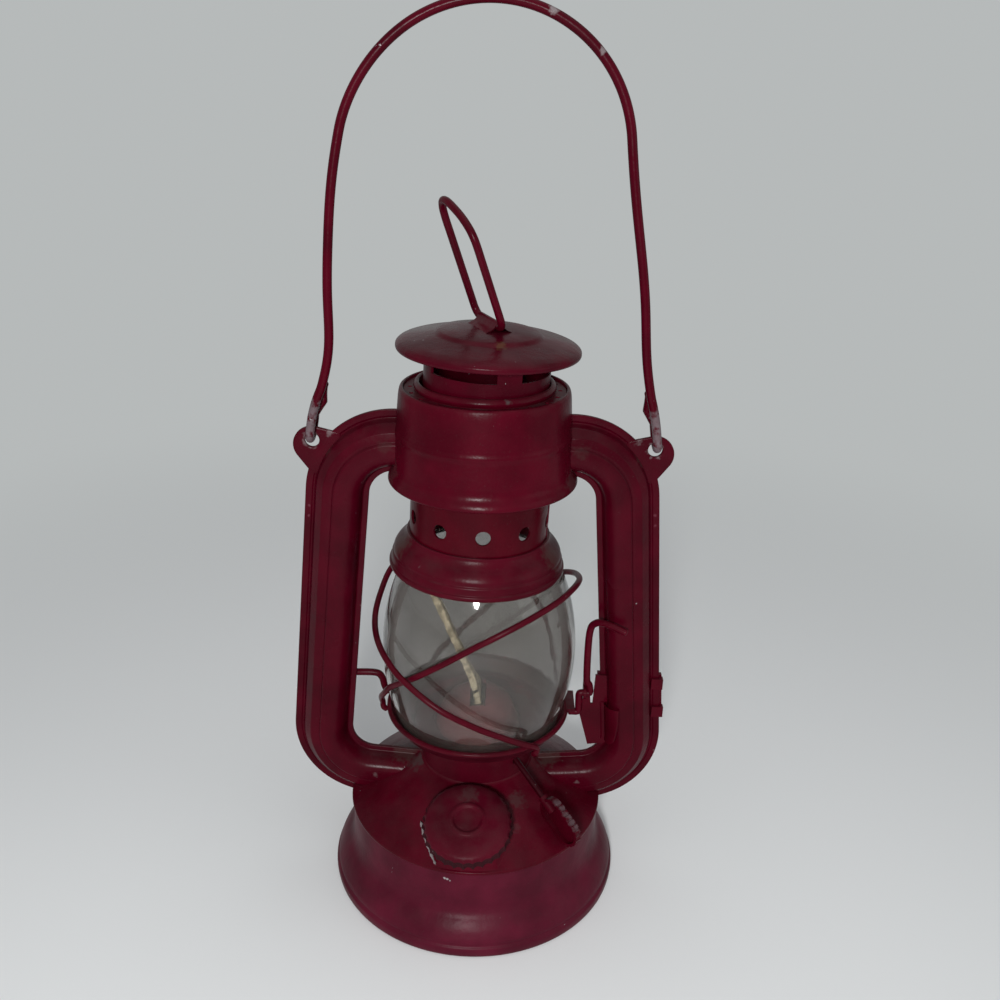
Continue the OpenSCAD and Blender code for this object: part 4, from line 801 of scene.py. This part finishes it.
above_ears = np.clip((bail_line[:, 2] - BAR_Z - 4) / 10, 0, 1)
kink = np.exp(-(((bail_line[:, 2] - BAR_Z - 24) / 16) ** 2)) * above_ears
on_left = bail_line[:, 0] < 0
bail_line[:, 0] -= np.where(on_left, 2.4, 1.0) * bow * np.clip(np.abs(bail_line[:, 0]) / 20, 0, 1)
bail_line[:, 0] += np.where(on_left, 2.6, -1.3) * kink
bail_wear = [((side * (EAR[0] - 0.155 * lift), -3, BAR_Z + lift), 4.4, (0.15, 0.125, 0.135), 0.7)
             for side in (-1, 1) for lift in (-3, 2, 7)]
bail_wear += [((16, -4, arch_z + 37.5), 2, BARE, 0.6), ((29, -4, arch_z + 28), 1.2, BARE, 0.5)]
dress(wire("bail_wire", bail_line, 1.4, 16),
      enamel("bail_enamel", dust=0.15, chips=0.75, marks=bail_wear), "handle", "crimson_enamel", "bail")

# Globe: clear blown glass, round-sided and open at both ends, standing in the plate under the hood.
# A grey coat of dust and specks dulls it. Its broad dark cover and the glass's grey tint are also painted
# shade: the darker ground behind the globe, seen through it. Lamps shine through it.
GLOBE_BASE, GLOBE_TOP, GLOBE_WIDE = 60.58, 120.98, 87.98
GLOBE_R, GLOBE_CURVE, GLASS_T = 32.2, 72.874, 1.8


def glass_r(z):
    """Outer radius of the glass at a height: an arc of radius 72.9 about the widest height."""
    return GLOBE_R - GLOBE_CURVE + np.sqrt(GLOBE_CURVE**2 - (z - GLOBE_WIDE) ** 2)


glass_z = np.linspace(GLOBE_BASE, GLOBE_TOP, 60)
glass_line = np.concatenate([np.stack([glass_r(glass_z), glass_z], -1),
                             np.stack([glass_r(glass_z) - GLASS_T, glass_z], -1)[::-1]])
u = np.linspace(0, 2 * np.pi, 160, endpoint=False)[:, None]
blown = np.stack([glass_line[None, :, 0] * np.cos(u), glass_line[None, :, 0] * np.sin(u),
                  glass_line[None, :, 1] + 0 * u], -1)
globe_piece = grid_mesh("globe_glass", blown, True, True)
glass, glass_tree, glass_shader, glass_spots = shade("globe_glass")
# The grey tint is partly the glass's own and partly painted shade of what lies behind it.
glass_shader.inputs["Base Color"].default_value = (0.61, 0.59, 0.575, 1)
glass_shader.inputs["Transmission Weight"].default_value = 1.0
glass_shader.inputs["IOR"].default_value = 1.46
glass_shader.inputs["Roughness"].default_value = 0.05
bumps(glass_tree, glass_spots, glass_shader, ((30, 2, 0.0005), (150, 2, 0.00005)))
# A dark diffuse coat: fine specks of dust, and a broad cloudy cover that is partly painted shade.
dust_and_shade_film = glass_tree.nodes.new("ShaderNodeBsdfDiffuse")
dust_and_shade_film.inputs["Color"].default_value = (0.12, 0.112, 0.1, 1)
specks = product(glass_tree, noise(glass_tree, glass_spots, 1500, 3, 0.62, 0.74), 0.4)
haze_and_shade = product(glass_tree, noise(glass_tree, glass_spots, 60, 5, 0.05, 0.75), 0.2)
dust_and_shade_cover = glass_tree.nodes.new("ShaderNodeMath")
dust_and_shade_cover.operation = "ADD"
glass_tree.links.new(specks, dust_and_shade_cover.inputs[0])
glass_tree.links.new(haze_and_shade, dust_and_shade_cover.inputs[1])
coated = glass_tree.nodes.new("ShaderNodeMixShader")
glass_tree.links.new(dust_and_shade_cover.outputs[0], coated.inputs[0])
glass_tree.links.new(glass_shader.outputs[0], coated.inputs[1])
glass_tree.links.new(dust_and_shade_film.outputs[0], coated.inputs[2])
glass_rays = glass_tree.nodes.new("ShaderNodeLightPath")
pass_light = glass_tree.nodes.new("ShaderNodeBsdfTransparent")
pass_light.inputs["Color"].default_value = (0.9, 0.92, 0.91, 1)
lit = glass_tree.nodes.new("ShaderNodeMixShader")
glass_tree.links.new(glass_rays.outputs["Is Shadow Ray"], lit.inputs[0])
glass_tree.links.new(coated.outputs[0], lit.inputs[1])
glass_tree.links.new(pass_light.outputs[0], lit.inputs[2])
glass_tree.links.new(lit.outputs[0], glass_tree.nodes["Material Output"].inputs[0])
dress(globe_piece, glass, "carrier", "globe_glass", "globe")

# Globe plate: a shallow pressed bowl under the globe, its rim rolled over, with a ledge that the lever's
# pin lifts. Dust covers it inside.
PLATE_R, RIM_Z = 31.1, 65.38
finish_node("globe_plate", enamel("plate_enamel", tone=(0.05, 0.002, 0.007), dust=0.75, gloss=0.32))
rim = turned("plate_rim", [(29.75, 64.2, 0.3), (31.1, 64.25, 0.45), (31.2, 65.1, 0.45),
                           (30.6, 65.55, 0.4), (29.75, 65.5, 0.35)],
             count=200, wave=0.05)
dress(rim, enamel("plate_rim_enamel", dust=0.15), "carrier", "crimson_enamel")


# Guard wires: two painted wires that cross round the globe, each hooked under the plate's rim at both
# ends. The guide arm is a shorter one that reaches behind the left tube.
def guard_line(from_az, marks, to_az):
    """Route of a guard wire: a hook below the rim, marks of direction, height above the rim and distance
    off the glass at r = glass_r(z) + 1.4 or clear of the rim, and a hook again."""
    hook_r, hook_z = PLATE_R + np.array([0.3, 1.3, 1.5]), RIM_Z + np.array([-3.1, -2.2, -0.2])
    az, rise, off = np.array(marks, float).T
    r = np.maximum(glass_r(np.minimum(RIM_Z + rise, GLOBE_TOP)) + 1.4, PLATE_R + 1.5) + off
    r = np.concatenate([hook_r, r, hook_r[::-1]])
    z = np.concatenate([hook_z, RIM_Z + rise, hook_z[::-1]])
    turn = np.radians(np.concatenate([[from_az] * 3, az, [to_az] * 3]))
    return through(np.stack([r * np.cos(turn), r * np.sin(turn), z], -1), 10)


front_marks = [[190, 4, 0.4], [200, 9, 0.4], [216, 17.4, 0.4], [233, 24.8, 0.4], [250, 32.4, 0.4],
               [267, 39.6, 0.5], [283, 45, 0.8], [300, 48.8, 0.6], [318, 50.6, 0], [335, 51, -0.4],
               [350, 50, -0.4], [365, 47.6, -0.4], [380, 44.6, 0], [395, 40.6, 0.4], [410, 35.6, 0.4],
               [425, 29.6, 0.4], [439, 22.4, 0.4], [453, 14.6, 0.4], [470, 5.6, 0.4]]
rear_marks = [[-60, 2.6, 0.4], [-74, 7.4, 0.8], [-90, 12.8, 1.6], [-108, 18.8, 2.6], [-127, 25, 3.1],
              [-142, 28.6, 2.8], [-158, 31.4, 2.2], [-176, 33.8, 1.8], [-192, 38, 1.6],
              [-206, 42.4, 1.8], [-222, 44.6, 2.2], [-240, 43.8, 2.2], [-258, 40.4, 2],
              [-276, 35.2, 2.4], [-292, 30, 2.8], [-306, 24.4, 2.4], [-318, 17, 1.2], [-330, 8, 0.4]]
guard_paint = enamel("guard_enamel", dust=0.15)
dress(wire("guard_front_wire", guard_line(184, front_marks, 484), 1.0), guard_paint, "carrier",
      "crimson_enamel", "guard_front")
dress(wire("guard_rear_wire", guard_line(-53, rear_marks, -337), 1.0), guard_paint, "carrier",
      "crimson_enamel", "guard_rear")
ARM_Z, ARM_Y = RIM_Z + 8.6, 2.05
arm_end = leg_head[0] - 10 / math.cos(LEAN) + (leg_head[1] - ARM_Z - 7.5) * math.tan(LEAN) + 1.4
arm = through([[-PLATE_R - 0.1, ARM_Y, RIM_Z + 1.1], [-PLATE_R - 1.2, ARM_Y, RIM_Z + 3.4],
               [-PLATE_R - 2.2, ARM_Y, ARM_Z - 1.6], [-PLATE_R - 4.4, ARM_Y, ARM_Z],
               [-arm_end, ARM_Y, ARM_Z]], 10)
dress(wire("guide_arm", arm, 1.2), guard_paint, "carrier", "crimson_enamel", "guide_wire")

# Globe lever: one bent wire, a pin under the plate's ledge, a crank, a pivot in the bracket's eye and a
# handle that curls over in front of the right tube. The bracket is a folded sheet clip round the tube.
LEVER_X, LEVER_Y, LEVER_Z, HANDLE_X = 34.4, -3.3, 71.706, 38.0
CRANK = 7.5
crank = [[31.45, LEVER_Y, LEVER_Z - CRANK], [32.6, LEVER_Y, LEVER_Z - CRANK],
         [33.8, LEVER_Y, LEVER_Z - CRANK], [LEVER_X, LEVER_Y, LEVER_Z - 6.9],
         [LEVER_X, LEVER_Y, LEVER_Z - 3.6], [LEVER_X, LEVER_Y, LEVER_Z - 0.6], [35, LEVER_Y, LEVER_Z],
         [36.2, LEVER_Y, LEVER_Z], [37.4, LEVER_Y, LEVER_Z], [HANDLE_X, LEVER_Y, LEVER_Z + 0.6]]
handle = [[HANDLE_X - 0.4, LEVER_Y, LEVER_Z + 3.2], [HANDLE_X - 1.4, LEVER_Y, LEVER_Z + 6.4],
          [HANDLE_X - 1.5, LEVER_Y - 0.2, LEVER_Z + 23.2],
          [HANDLE_X + 0.3, LEVER_Y - 1.8, LEVER_Z + 28.1], [HANDLE_X + 4, LEVER_Y - 4.4, LEVER_Z + 29],
          [HANDLE_X + 9.4, LEVER_Y - 7.1, LEVER_Z + 27.8]]
dress(wire("lever_wire", through(crank + handle, 8), 1.2), enamel("lever_enamel", dust=0.15), "lever",
      "crimson_enamel", "globe_lever")
bracket_paint = enamel("bracket_enamel", dust=0.15)
finish_node("lever_bracket", bracket_paint)


def pocket():
    """Sheet p(k, v) laid over the right tube's inner flange and the side of its pressed face: k runs up
    the leg, v across the section to 20 + 58 sqrt(1 - (1 - k)^2) degrees round the face, 0.3 mm and 1.2 mm
    off it on its two sides."""
    k = np.linspace(0, 1, 40)[:, None]
    v = np.linspace(0, 1, 20)[None, :]
    a = np.radians(20 + 58 * np.sqrt(1 - (1 - k) ** 2)) * np.clip(v * 1.25 - 0.25, 0, 1)
    layers = []
    for gap in (1.2, 0.3):
        u = np.where(v < 0.2, -10.4 + 12.5 * v, FACE_U - (FACE_WIDE + gap) * np.cos(a))
        layers.append(np.stack([u + 0 * k, FACE_BASE + gap + FACE_HIGH * np.sin(a)], -1))
    across = np.concatenate([layers[0], layers[1][:, ::-1]], 1)
    place, normal = tube_line(HEAD_L + TOP_R * np.pi / 2 + 92 - 17 * k[:, 0] - 0.4)
    spot = place[:, None] + across[..., :1] * normal[:, None]
    return grid_mesh("bracket_pocket", np.stack([spot[..., 0], -across[..., 1], spot[..., 1]], -1),
                     closed_v=True)


dress(pocket(), bracket_paint, "frame", "crimson_enamel")
